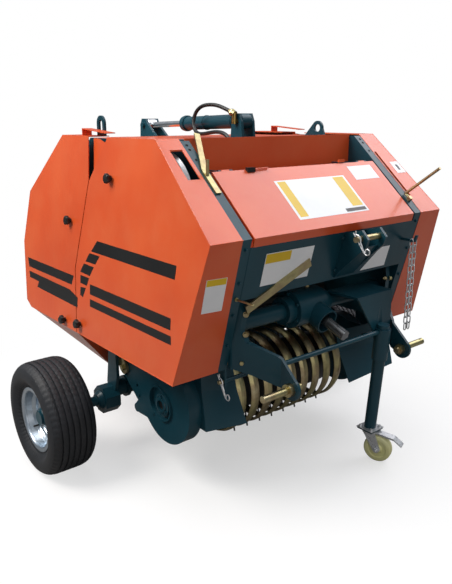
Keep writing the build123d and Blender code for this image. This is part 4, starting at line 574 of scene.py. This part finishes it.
def mesh_piece(name, shapes, material, body, replaced=None, sharp=38.0, solid=True):
    """One mesh from (points, faces) shapes in drawn millimetres, riding on a body; films aren't solid."""
    points = np.vstack([shape_points for shape_points, _ in shapes])
    faces, first = [], 0
    for shape_points, shape_faces in shapes:
        faces += [[index + first for index in face] for face in shape_faces]
        first += len(shape_points)
    mesh = bpy.data.meshes.new(name)
    mesh.from_pydata(((points - (0.0, 0.0, DATUM_Z)) * MM).tolist(), [], faces)
    mesh.materials.append(MATERIALS[material])
    if solid:
        shell = bmesh.new()
        shell.from_mesh(mesh)
        bmesh.ops.remove_doubles(shell, verts=shell.verts, dist=1e-6)
        bmesh.ops.recalc_face_normals(shell, faces=shell.faces)
        shell.to_mesh(mesh)
        shell.free()
    mesh.polygons.foreach_set("use_smooth", [True] * len(mesh.polygons))
    mesh.set_sharp_from_angle(angle=math.radians(sharp))
    mesh.update()
    piece = bpy.data.objects.new(name, mesh)
    bpy.context.scene.collection.objects.link(piece)
    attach(piece, body)
    if replaced:
        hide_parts(replaced)
    return piece


def side_x(z):
    """Distance of the leaning cover face from the middle at a given height."""
    return TOP_HALF + (TOP_Z - z) * SIDE_SLOPE


def slope_z(y):
    """Height of the sloping fronts above a given y."""
    return FOLD[1] + (y - FOLD[0]) / (SLOPE_TOP[0] - FOLD[0]) * (SLOPE_TOP[1] - FOLD[1])


def front_y(z):
    """Place of the lower front faces at a given height."""
    return FRONT_FOOT[0] + (z - FRONT_FOOT[1]) / (FOLD[1] - FRONT_FOOT[1]) * (FOLD[0] - FRONT_FOOT[0])


SLOPE_OUT = unit((0.0, FOLD[1] - SLOPE_TOP[1], SLOPE_TOP[0] - FOLD[0]))
FRONT_OUT = unit((0.0, -(FOLD[1] - FRONT_FOOT[1]), FOLD[0] - FRONT_FOOT[0]))


def film(outline, out, layer=1):
    """Flat film from an outline of points, facing out of its face and lifted off it layer by layer."""
    points = np.asarray(outline, float) + np.asarray(out) * FILM_LIFT * layer
    if np.cross(points[1] - points[0], points[2] - points[1]) @ out < 0:
        points = points[::-1]
    return points, [list(range(len(points)))]


def film_on_slope(x, y, layer=1):
    """Film on a sloping front between two x and two y."""
    corners = [(x[0], y[0]), (x[1], y[0]), (x[1], y[1]), (x[0], y[1])]
    return film([(a, b, slope_z(b)) for a, b in corners], SLOPE_OUT, layer)


def film_on_front(corners, layer=1):
    """Film on the lower front from (x, z) corners."""
    return film([(x, front_y(z), z) for x, z in corners], FRONT_OUT, layer)


def films_on_side(outlines, side):
    """Films on a side cover from (y, z) outlines; side is -1 for the left cover."""
    out = unit((side, 0.0, SIDE_SLOPE))
    return [film([(side * side_x(z), y, z) for y, z in outline], out) for outline in outlines]


# Stripes on the side covers, as (y, z) outlines
FRONT_STRIPES = (
    ((54, 813), (-405, 813), (-402, 773), (91, 773)),
    ((86, 662), (-398, 662), (-401, 628), (82, 628)),
    ((80, 612), (-405, 612), (-410, 587), (77, 587)),
    ((102, 765), (30, 766), (57, 734), (126, 733)),
    ((137, 724), (66, 723), (90, 689), (161, 691)),
    ((158, 680), (94, 681), (108, 652), (155, 653)),
    ((152, 639), (114, 643), (131, 607), (152, 611)),
)
GATE_STRIPES = (
    ((615, 665), (208, 667), (222, 633), (598, 631)),
    ((596, 614), (233, 613), (170, 597), (168, 562), (514, 565), (500, 589), (586, 590)),
)

# Plates, all blank: piece, film, body, slot, layer, (x, z) corners on the front, (x, y) spans on the slope
PLATES = (
    (
        "lid_plates",
        "plate",
        "lid",
        "orange_paint",
        1,
        (),
        (((-160, 160), (-397, -515)), ((208, 332), (-369, -416))),
    ),
    (
        "lid_plate_bands",
        "yellow_film",
        "lid",
        "orange_paint",
        2,
        (),
        (((-150, -116), (-401, -508)), ((100, 150), (-401, -496))),
    ),
    ("lid_plate_foot", "stripe", "lid", "orange_paint", 2, (), (((56, 152), (-501, -511)),)),
    (
        "frame_plates",
        "plate",
        "frame",
        "teal_paint",
        1,
        (
            ((-512, 791), (-439, 788), (-439, 686), (-512, 690)),
            ((-308, 837), (-111, 837), (-111, 736), (-308, 736)),
            ((230, 785), (281, 785), (281, 712), (150, 712)),
        ),
        (((451, 501), (-364, -406)),),
    ),
    (
        "frame_plate_bands",
        "yellow_film",
        "frame",
        "teal_paint",
        2,
        (
            ((-510, 790), (-441, 787), (-441, 768), (-510, 771)),
            ((-306, 835), (-206, 835), (-206, 806), (-306, 806)),
        ),
        (),
    ),
    ("cover_plate_mark", "stripe", "frame", "orange_paint", 2, (), (((470, 482), (-375, -395)),)),
)


def make_films():
    """Black stripes on the side covers, and the plates, left blank, with their yellow bands."""
    for side, word in ((-1, "left"), (1, "right")):
        for name, outlines, body in (
            ("front_stripes", FRONT_STRIPES, "frame"),
            ("gate_stripes", GATE_STRIPES, "rear_gate"),
        ):
            shapes = films_on_side(outlines, side)
            mesh_piece(f"{name}_{word}", shapes, "stripe", body, solid=False)
    for name, kind, body, slot, layer, on_front, on_slope in PLATES:
        shapes = [film_on_front(corners, layer) for corners in on_front]
        shapes += [film_on_slope(x, y, layer) for x, y in on_slope]
        mesh_piece(name, shapes, kind, body, solid=False)


def make_edges():
    """Folded edges of the covers, rounded: thin bars that lie in each corner of the sheet."""
    bars = []
    for side in (-1, 1):
        fold = (side * side_x(FOLD[1]), *FOLD)
        foot = (side * side_x(FRONT_FOOT[1]), *FRONT_FOOT)
        top = (side * side_x(SLOPE_TOP[1]), *SLOPE_TOP)
        runs = [
            (foot, fold, (-side, 1, 0)),
            (fold, top, (-side, 0.7, -0.7)),
            ((side * COVER_INNER, *FOLD), fold, (0, 1, -0.3)),
            ((side * COVER_INNER, *FRONT_FOOT), foot, (0, 1, 0.3)),
            (foot, (foot[0], SKIRT_Y, foot[2]), (-side, 0, 1)),
        ]
        for start, end, inward in runs:
            sink = EDGE_R * 0.75 * unit(inward)
            bars.append(tube(np.linspace(start + sink, end + sink, 3), EDGE_R))
    mesh_piece("cover_edges", bars, "orange", "frame")


def tread(along, angle):
    """Depth of the tyre's grooves.

    Each groove is a flat well whose walls rise with the fourth power of the distance from its middle.
    Nicks lie beside the grooves and on the shoulders wherever sin(60 a) is high.
    """
    turn = np.sin(NICKS_ROUND * angle)
    depth = np.zeros(along.shape)
    for groove in TREAD_GROOVES:
        away = np.abs(along - groove)
        depth = np.maximum(depth, GROOVE_DEPTH * np.clip(1.25 - (away / GROOVE_HALF) ** 4, 0, 1))
        nick = (away > NICK_BAND[0]) & (away < NICK_BAND[1]) & (turn > 0.3)
        depth = np.maximum(depth, NICK_DEPTH * nick)
    out = np.abs(along)
    shoulder = (out > SHOULDER_BAND[0]) & (out < SHOULDER_BAND[1]) & (turn > 0.1)
    return np.maximum(depth, SHOULDER_DEPTH * shoulder)


# Sections of the wheel as (along the axle, radius): one wall of the tyre, its crown, the rim, the hub and
# the valve, which stands beside the axle
TYRE_WALL = (
    (-46, 103.5), (-58, 103.5), (-60.5, 116), (-64, 123), (-66, 124), (-72, 131), (-80, 143), (-82.4, 153),
    (-81, 168), (-76.5, 180), (-73.5, 184),
)
CROWN_HALF = 73.5
CROWN_R = 198.0
CROWN_DROP = 14.0
CROWN_POINTS = 133
RIM = (
    (-1, 30), (-1, 66), (3, 74), (4, 80), (2, 84), (-22, 84), (-32, 95), (-56, 97), (-62, 99), (-64, 103),
    (-64, 112), (-63, 114), (-61, 114), (-60, 112), (-60, 101), (-34, 101), (-24, 88), (24, 88), (34, 101),
    (60, 101), (60, 112), (61, 114), (63, 114), (64, 112), (64, 104), (62, 100), (57, 97.5), (34, 95.5),
    (30, 93), (24, 85), (20, 84), (12, 83.5), (9, 80), (8, 72), (3, 63), (3, 30),
)
HUB = ((3, 46), (9, 44), (14, 36), (38, 33.5), (41, 31), (41, 26), (3, 26))
VALVE = ((8, 6), (20, 5.5), (22, 3.5), (44, 3.5), (46, 2), (46, 0))


def tyre_section():
    """Closed section of the tyre: wall, crown of radius R - drop (x / half)^6, and the wall mirrored."""
    across = np.linspace(-CROWN_HALF, CROWN_HALF, CROWN_POINTS)
    crown = np.stack([across, CROWN_R - CROWN_DROP * np.abs(across / CROWN_HALF) ** 6], -1)
    wall = flowing(TYRE_WALL, steps=4)[:-1]
    return np.vstack([wall, crown, (wall * (-1, 1))[::-1]])


def make_wheels():
    """Ribbed tyres, rolled rims, hub castings, wheel nuts and valves."""
    section = tyre_section()
    for side, word in ((-1, "left"), (1, "right")):
        body = f"wheel_{word}"
        centre = (side * WHEEL_X, WHEEL_Y, WHEEL_Z)
        out = (side, 0, 0)
        tyre = [turned(section, centre, out, count=240, ripple=tread, closed=True)]
        mesh_piece(f"ribbed_tyre_{word}", tyre, "tyre", body, f"tyre_{word}", sharp=50.0)
        rim = [turned(RIM, centre, out, count=96, closed=True)]
        mesh_piece(f"rolled_rim_{word}", rim, "silver", body, f"rim_{word}", sharp=50.0)
        casting = [turned(HUB, centre, out, count=8, start=math.pi / 8, closed=True)]
        mesh_piece(f"hub_casting_{word}", casting, "teal", body)
        nuts = []
        for index in range(NUT_COUNT):
            angle = 2 * math.pi * (index + NUT_TURN) / NUT_COUNT
            y = WHEEL_Y + NUT_RING_R * math.cos(angle)
            z = WHEEL_Z + NUT_RING_R * math.sin(angle)
            nuts += bolt((side * (WHEEL_X + NUT_SEAT), y, z), out, WHEEL_NUT, STUD)
        mesh_piece(f"wheel_nuts_{word}", nuts, "bright_zinc", body)
        foot = (side * WHEEL_X, WHEEL_Y + VALVE_OFF[0], WHEEL_Z + VALVE_OFF[1])
        mesh_piece(f"valve_{word}", [turned(VALVE, foot, out, count=16)], "knob", body)


KNOB = ((0, 8), (6, 8), (6, 11), (7, 15), (9.5, 17), (17, 17), (20.5, 15.5), (22, 12), (22, 0))


def lobes(along, angle):
    """Depth between a knob's lobes: depth (1 - cos 5a) from its skirt to its face."""
    gripped = (along > LOBES_FROM) & (along < LOBES_TO)
    return np.where(gripped, LOBE_DEPTH * (1 - np.cos(KNOB_LOBES * angle)), 0.0)


def make_knobs():
    """Lobed knobs on the left and right covers."""
    for node, body, places in (
        ("front_knobs", "frame", FRONT_KNOBS),
        ("gate_knobs", "rear_gate", GATE_KNOBS),
    ):
        shapes = [
            turned(KNOB, (side * side_x(z), y, z), (side, 0, SIDE_SLOPE), count=60, ripple=lobes)
            for side in (-1, 1)
            for y, z in places
        ]
        mesh_piece(f"lobed_{node}", shapes, "knob", body, node)


def make_chain():
    """Round-wire links: two half circles joined by straights, each link turned a quarter from the last."""
    turns = np.linspace(-math.pi / 2, math.pi / 2, 7)
    half = np.stack([LINK_R * np.sin(turns), LINK_HALF + LINK_R * np.cos(turns)], -1)
    flat = np.vstack([half, -half])
    links = []
    for strand in CHAIN_STRANDS:
        for index in range(CHAIN_LINKS):
            centre = np.array(CHAIN_TOP) + (strand, 0.0, -CHAIN_PITCH * index)
            across = (1.0, 0.0, 0.0) if index % 2 else (0.0, 1.0, 0.0)
            path = centre + flat @ np.array([across, (0.0, 0.0, 1.0)])
            links.append(tube(path, CHAIN_WIRE_R, count=8, closed=True))
    mesh_piece("round_chain", links, "bright_zinc", "frame", "holding_chain", sharp=60.0)


def make_clips():
    """Spring clips in the top link's pin and in the lift pins."""
    shapes = [clip(TOP_PIN, *TOP_CLIP_LIES, TOP_PIN_R)]
    for side in (-1, 1):
        shapes.append(clip((side * LIFT_CLIP_X, *LIFT_PIN[1:]), *LIFT_CLIP_LIES, LIFT_PIN_R))
    mesh_piece("spring_clips", shapes, "bright_zinc", "frame")


LIFT_PIN_END = ((0, 7), (14, 7), (16, 5.5), (16, 0))
STOP_PIN = ((0, 6), (4, 6), (4, 3.4), (74, 3.4), (76, 2.4), (76, 0))
FLANGE_HOLE = ((0, 4.5), (0.25, 4.5), (0.25, 0))


def make_zinc_bolts():
    """Bolts and nuts through the hitch plates, ends of the lift pins, gearbox plug and stop pin."""
    shapes = []
    for side in (-1, 1):
        out = unit((side * HITCH_OUT[0], HITCH_OUT[1], 0))
        for y, z in HITCH_BOLTS:
            x = HITCH_BEND[0] + (y - HITCH_BEND[1]) * HITCH_RUN
            centre = np.array((side * x, y, z))
            shapes += bolt(centre + out * HITCH_HALF, out, HITCH_BOLT)
            shapes += bolt(centre - out * HITCH_HALF, -out, HITCH_BOLT, STUD)
        place = (side * LIFT_PIN[0], *LIFT_PIN[1:])
        shapes.append(turned(LIFT_PIN_END, place, (side, 0, 0), count=24))
    shapes += bolt(GEARBOX_PLUG_AT, (0, 0, 1), GEARBOX_PLUG)
    stop = (-FLANGE_X, front_y(STOP_PIN_Z) + 1, STOP_PIN_Z)
    shapes.append(turned(STOP_PIN, stop, (0, -1, 0), count=20))
    mesh_piece("zinc_bolts", shapes, "yellow_zinc", "frame")


def make_painted_bolts():
    """Painted bolts down the flanges, round both ends of the gearbox and on the clevis."""
    shapes = []
    for side in (-1, 1):
        for z in FLANGE_BOLTS_Z:
            place = np.array((side * FLANGE_X, front_y(z), z)) - FRONT_OUT
            shapes += bolt(place, FRONT_OUT, FLANGE_BOLT)
    for face, out in GEARBOX_FACES:
        for index in range(GEARBOX_BOLTS):
            angle = 2 * math.pi * (index + 0.5) / GEARBOX_BOLTS
            y = GEARBOX[0] + GEARBOX_BOLT_R * math.cos(angle)
            z = GEARBOX[1] + GEARBOX_BOLT_R * math.sin(angle)
            shapes += bolt((face, y, z), (out, 0, 0), GEARBOX_BOLT)
    for x in CLEVIS_BOLTS_X:
        for z in CLEVIS_BOLTS_Z:
            shapes += bolt((x, front_y(z), z), FRONT_OUT, CLEVIS_BOLT)
    mesh_piece("painted_bolts", shapes, "teal", "frame")


def make_holes():
    """Open holes at the head of the flanges, as dark discs of painted shade."""
    holes = [
        turned(FLANGE_HOLE, (side * HOLES_X, y, slope_z(y) - 1.0), SLOPE_OUT, count=20)
        for side in (-1, 1)
        for y in HOLES_Y
    ]
    mesh_piece("flange_holes", holes, "hole", "frame")


HOUSING = ((0, 38), (5, 38), (7, 35), (7, 27), (12, 25), (12.6, 23), (12.6, 18), (0, 18))


def make_pickup():
    """Bearing housings of the reel, each with three bolts, and the bolts of the pickup's side plates."""
    shapes = []
    for side in (-1, 1):
        out = (side, 0, 0)
        shapes.append(turned(HOUSING, (side * HOUSING_X, *REEL), out, count=48, closed=True))
        for index in range(HOUSING_BOLTS):
            angle = math.pi / 2 + 2 * math.pi * index / HOUSING_BOLTS
            y = REEL[0] + HOUSING_BOLT_R * math.cos(angle)
            z = REEL[1] + HOUSING_BOLT_R * math.sin(angle)
            shapes += bolt((side * HOUSING_BOLT_X, y, z), out, HOUSING_BOLT)
        for y, z in PICKUP_BOLTS:
            shapes += bolt((side * HOUSING_X, y, z), out, PICKUP_BOLT)
    mesh_piece("reel_bearing_housings", shapes, "teal", "pickup")


# Sections of the castor as (along its axis, radius): swivel race, and wheel with its recessed hub
RACE = ((-9, 23), (-8, 27), (-5, 29), (-2.5, 27.5), (-1.5, 24))
CASTOR_WHEEL = (
    (-17.4, 6.2), (-17.4, 14), (-11, 19), (-12, 31), (-16, 34), (-16, 43), (-14.5, 47), (-11, 49.4), (-6, 50),
    (6, 50), (11, 49.4), (14.5, 47), (16, 43), (16, 34), (12, 31), (11, 19), (17.4, 14), (17.4, 6.2),
)


def make_castor():
    """Bolted foot plate, swivel race, axle nuts, pedal ribs and rounded nylon wheel of the castor."""
    x, y = JACK_X, JACK_FOOT_Y
    half = FOOT_PLATE_HALF
    plate = [box((x - half, x + half), (y - half, y + half), FOOT_PLATE_Z)]
    for a in (-FOOT_BOLT_OFF, FOOT_BOLT_OFF):
        for b in (-FOOT_BOLT_OFF, FOOT_BOLT_OFF):
            plate += bolt((x + a, y + b, FOOT_PLATE_Z[1]), (0, 0, 1), FOOT_BOLT)
    mesh_piece("castor_foot_plate", plate, "bright_zinc", "jack")
    side = np.array((math.cos(CASTOR_TURN), math.sin(CASTOR_TURN), 0.0))
    ahead = np.array((math.sin(CASTOR_TURN), -math.cos(CASTOR_TURN), 0.0))
    axle = np.array((x, y, CASTOR_AXLE_Z)) + CASTOR_TRAIL * ahead
    shapes = [turned(RACE, (x, y, CASTOR_RACE_Z), (0, 0, 1), count=40, closed=True)]
    for out in (-side, side):
        shapes += bolt(axle + CASTOR_NUT_OFF * out, out, CASTOR_NUT, STUD)
    for reach in PEDAL_RIBS:
        middle = np.array((x, y, PEDAL_FROM[1] - PEDAL_FALL * (reach - PEDAL_FROM[0]))) + reach * ahead
        shapes.append(tube([middle + side * PEDAL_HALF, middle - side * PEDAL_HALF], RIB_R, count=8))
    mesh_piece("castor_fittings", shapes, "bright_zinc", "castor")
    wheel = [turned(CASTOR_WHEEL, axle, side, count=72, closed=True)]
    mesh_piece("round_castor_wheel", wheel, "nylon", "castor_roller", "castor_wheel", sharp=45.0)


# Sections of the cylinder's and the hose's fittings as (along, radius)
PIVOT_CAP = ((0, 17), (3, 16), (3, 9), (1.5, 8), (1.5, 0))
GLAND = ((0, 27.2), (2, 29), (12, 29), (14, 27.2), (20, 27.2), (22.2, 24), (22.2, 12))
RING = ((0, 24.2), (1, 26), (6, 26), (7, 24.2))
FERRULE = ((-26, 8), (-25, 10.2), (-14, 10.2), (-13, 9.2), (-1, 9.2), (0.4, 8))
UNION_NUT = ((-14, 9), (-14, 11.5), (-13, 12.4), (-4, 12.4), (-3, 11.5), (-3, 9))


def make_cylinder():
    """Caps on the pivot, gland nut and rings of the gate cylinder."""
    pivot = np.array(CYLINDER_PIVOT)
    along = unit(CYLINDER_RUN)
    shapes = [turned(PIVOT_CAP, pivot + (side * PIVOT_CAP_X, 0, 0), (side, 0, 0)) for side in (-1, 1)]
    shapes.append(turned(GLAND, pivot + along * GLAND_AT, along, count=48, closed=True))
    shapes += [turned(RING, pivot + along * reach, along, count=48, closed=True) for reach in RINGS_AT]
    mesh_piece("cylinder_rings", shapes, "teal", "barrel")


def make_ferrules():
    """Crimped ferrule and union nut at each end of the hose; returns the piece."""
    route = np.array(HOSE_ROUTE)
    shapes = []
    for end, inward in ((route[0], route[1] - route[0]), (route[-1], route[-2] - route[-1])):
        shapes.append(turned(FERRULE, end, inward, closed=True))
        shapes.append(turned(UNION_NUT, end, inward, count=6, closed=True))
    return mesh_piece("hose_ferrules", shapes, "yellow_zinc", "frame")


def make_lid_details():
    """Tab, catch and rod on the upper edge of the lid."""
    edge = slope_z(TAB_Y[1])
    tab = [box(TAB_X, TAB_Y, [edge + height for height in TAB_HEIGHTS])]
    mesh_piece("lid_tab", tab, "orange", "lid")
    foot = slope_z(sum(CATCH_Y) / 2)
    catch = [box(CATCH_X, CATCH_Y, [foot + height for height in CATCH_HEIGHTS])]
    mesh_piece("lid_catch", catch, "knob", "lid")
    rod = [tube(np.array(CATCH_ROD) + (0.0, 0.0, foot), CATCH_ROD_R)]
    mesh_piece("lid_catch_rod", rod, "orange", "lid")


def make_hose():
    """Hydraulic hose on its route, as one smooth tube between its ferrules."""
    curve = bpy.data.curves.new("hose", "CURVE")
    curve.dimensions = "3D"
    curve.bevel_depth = HOSE_D / 2 * MM
    curve.bevel_resolution = 5
    curve.resolution_u = 10
    spline = curve.splines.new("NURBS")
    spline.points.add(len(HOSE_ROUTE) - 1)
    places = (np.array(HOSE_ROUTE) - (0.0, 0.0, DATUM_Z)) * MM
    for point, place in zip(spline.points, places):
        point.co = (*place, 1.0)
    spline.order_u = 3
    spline.use_endpoint_u = True
    curve.materials.append(MATERIALS["hose"])
    hose = bpy.data.objects.new("hose", curve)
    bpy.context.scene.collection.objects.link(hose)
    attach(hose, "frame")
    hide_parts("hydraulic_hose")


# Floor: its half width and how far under the wheels it lies, both in metres
FLOOR_HALF = 12.0
FLOOR_DROP = 0.0005

# Softboxes in metres and watts: name, place, target, width, power, colour
LAMPS = (
    ("key_softbox", (-2.5, 0.9, 3.0), (-0.5, 0.1, 0.9), 1.7, 104.0, "#FFFAF4"),
    ("sheen_softbox", (3.4, -0.5, 4.0), (0.0, -0.4, 1.0), 3.6, 128.0, "#F6F3F8"),
    ("top_softbox", (-0.6, 0.4, 4.2), (0.0, 0.0, 0.6), 3.0, 50.0, "#FFFFFF"),
    ("front_fill", (-1.2, -4.2, 1.6), (0.0, 0.0, 0.5), 2.6, 22.0, "#FFF4EC"),
)


def floor_paint():
    """Pale floor: white to the camera, nearly dark to other rays, and fading to plain white with distance."""
    material, tree, place = new_material("pale_studio_floor")
    ray = add(tree, LIGHT_PATH, (-300, 500))
    seen = ray.outputs["Is Camera Ray"]
    # Glossy rays see the floor a little lighter: a painted reflection that brightens the metal parts
    mirrored = [(0, ray.outputs["Is Glossy Ray"]), (1, 0.15), (2, seen)]
    bright = add(tree, MATHS, (0, 500), mirrored, operation="MULTIPLY_ADD")
    tints = [(0, bright), (6, linear("#77736E")), (7, linear("#FFFFFF"))]
    tint = add(tree, MIX, (200, 300), tints, data_type="RGBA")
    finish = [("Base Color", tint.outputs[2]), ("Roughness", 0.8), ("Specular IOR Level", 0.1)]
    shader = add(tree, PRINCIPLED, (600, 0), finish)
    level = [(0, place), (1, (1.0, 1.0, 0.0))]
    flat = add(tree, "ShaderNodeVectorMath", (-900, -300), level, operation="MULTIPLY")
    reach = add(tree, "ShaderNodeVectorMath", (-600, -300), [(0, flat)], operation="LENGTH")
    rise = [("Value", reach.outputs["Value"]), ("From Min", 0.3), ("From Max", 1.4), ("To Min", 0.5)]
    fade = add(tree, RANGE, (-300, -300), rise, interpolation_type="SMOOTHSTEP")
    share = add(tree, MATHS, (0, -300), [(0, fade), (1, seen)], operation="MULTIPLY")
    white = add(tree, "ShaderNodeEmission", (300, -300), [("Color", linear("#FFFFFF")), ("Strength", 1.0)])
    blend = add(tree, "ShaderNodeMixShader", (800, -150), [(0, share), (1, shader), (2, white)])
    add(tree, SURFACE, (1000, 0), [("Surface", blend)])
    return material


def make_floor():
    """Pale floor under the wheels."""
    mesh = bpy.data.meshes.new("floor")
    half, drop = FLOOR_HALF, -FLOOR_DROP
    corners = [(-half, -half, drop), (half, -half, drop), (half, half, drop), (-half, half, drop)]
    mesh.from_pydata(corners, [], [(0, 1, 2, 3)])
    mesh.materials.append(floor_paint())
    floor = bpy.data.objects.new("floor", mesh)
    bpy.context.scene.collection.objects.link(floor)


def make_surround():
    """White surround to the camera; what it lights and mirrors is a soft sky, darker near the floor."""
    world = bpy.data.worlds.new("studio")
    bpy.context.scene.world = world
    world.use_nodes = True
    tree = world.node_tree
    tree.nodes.clear()
    coords = add(tree, "ShaderNodeTexCoord", (-900, 0))
    split = add(tree, "ShaderNodeSeparateXYZ", (-700, 0), [("Vector", coords.outputs["Generated"])])
    span = [("Value", split.outputs["Z"]), ("From Min", -0.1), ("From Max", 0.7)]
    height = add(tree, RANGE, (-500, 0), span)
    stops = [(0.0, "#5E6468"), (0.3, "#98A2AC"), (1.0, "#F2F6FB")]
    sky = add(tree, RAMP, (-300, 0), [("Fac", height)], stops)
    ray = add(tree, LIGHT_PATH, (-300, 400))
    light = add(tree, "ShaderNodeBackground", (0, 0), [("Color", sky), ("Strength", 0.5)])
    seen = add(tree, "ShaderNodeBackground", (0, -200), [("Color", linear("#FFFFFF")), ("Strength", 1.0)])
    parts = [(0, ray.outputs["Is Camera Ray"]), (1, light), (2, seen)]
    blend = add(tree, "ShaderNodeMixShader", (300, 0), parts)
    add(tree, "ShaderNodeOutputWorld", (600, 0), [("Surface", blend)])


def make_lamps():
    """Square softboxes, each turned from its place to its target."""
    for name, place, target, width, power, colour in LAMPS:
        lamp = bpy.data.lights.new(name, "AREA")
        lamp.shape = "SQUARE"
        lamp.size = width
        lamp.energy = power
        lamp.color = linear(colour)[:3]
        item = bpy.data.objects.new(name, lamp)
        item.location = place
        x, y, z = np.array(target) - np.array(place)
        item.rotation_euler = (math.atan2(math.hypot(x, y), -z), 0.0, math.atan2(y, x) - math.pi / 2)
        bpy.context.scene.collection.objects.link(item)


def make_camera():
    """Camera where the photograph was taken from."""
    data = bpy.data.cameras.new("camera")
    data.lens = LENS
    data.sensor_width = SENSOR
    camera = bpy.data.objects.new("camera", data)
    camera.location = CAMERA_AT
    camera.rotation_euler = (math.pi / 2 - CAMERA_ELEVATION, 0.0, CAMERA_AZIMUTH)
    bpy.context.scene.collection.objects.link(camera)
    bpy.context.scene.camera = camera
    bpy.context.scene.view_settings.view_transform = "Standard"


dress_nodes()
make_films()
make_edges()
make_wheels()
make_knobs()
make_chain()
make_clips()
make_zinc_bolts()
make_painted_bolts()
make_holes()
make_pickup()
make_castor()
make_cylinder()
ferrules = make_ferrules()
make_lid_details()
make_hose()
make_floor()
make_surround()
make_lamps()
make_camera()
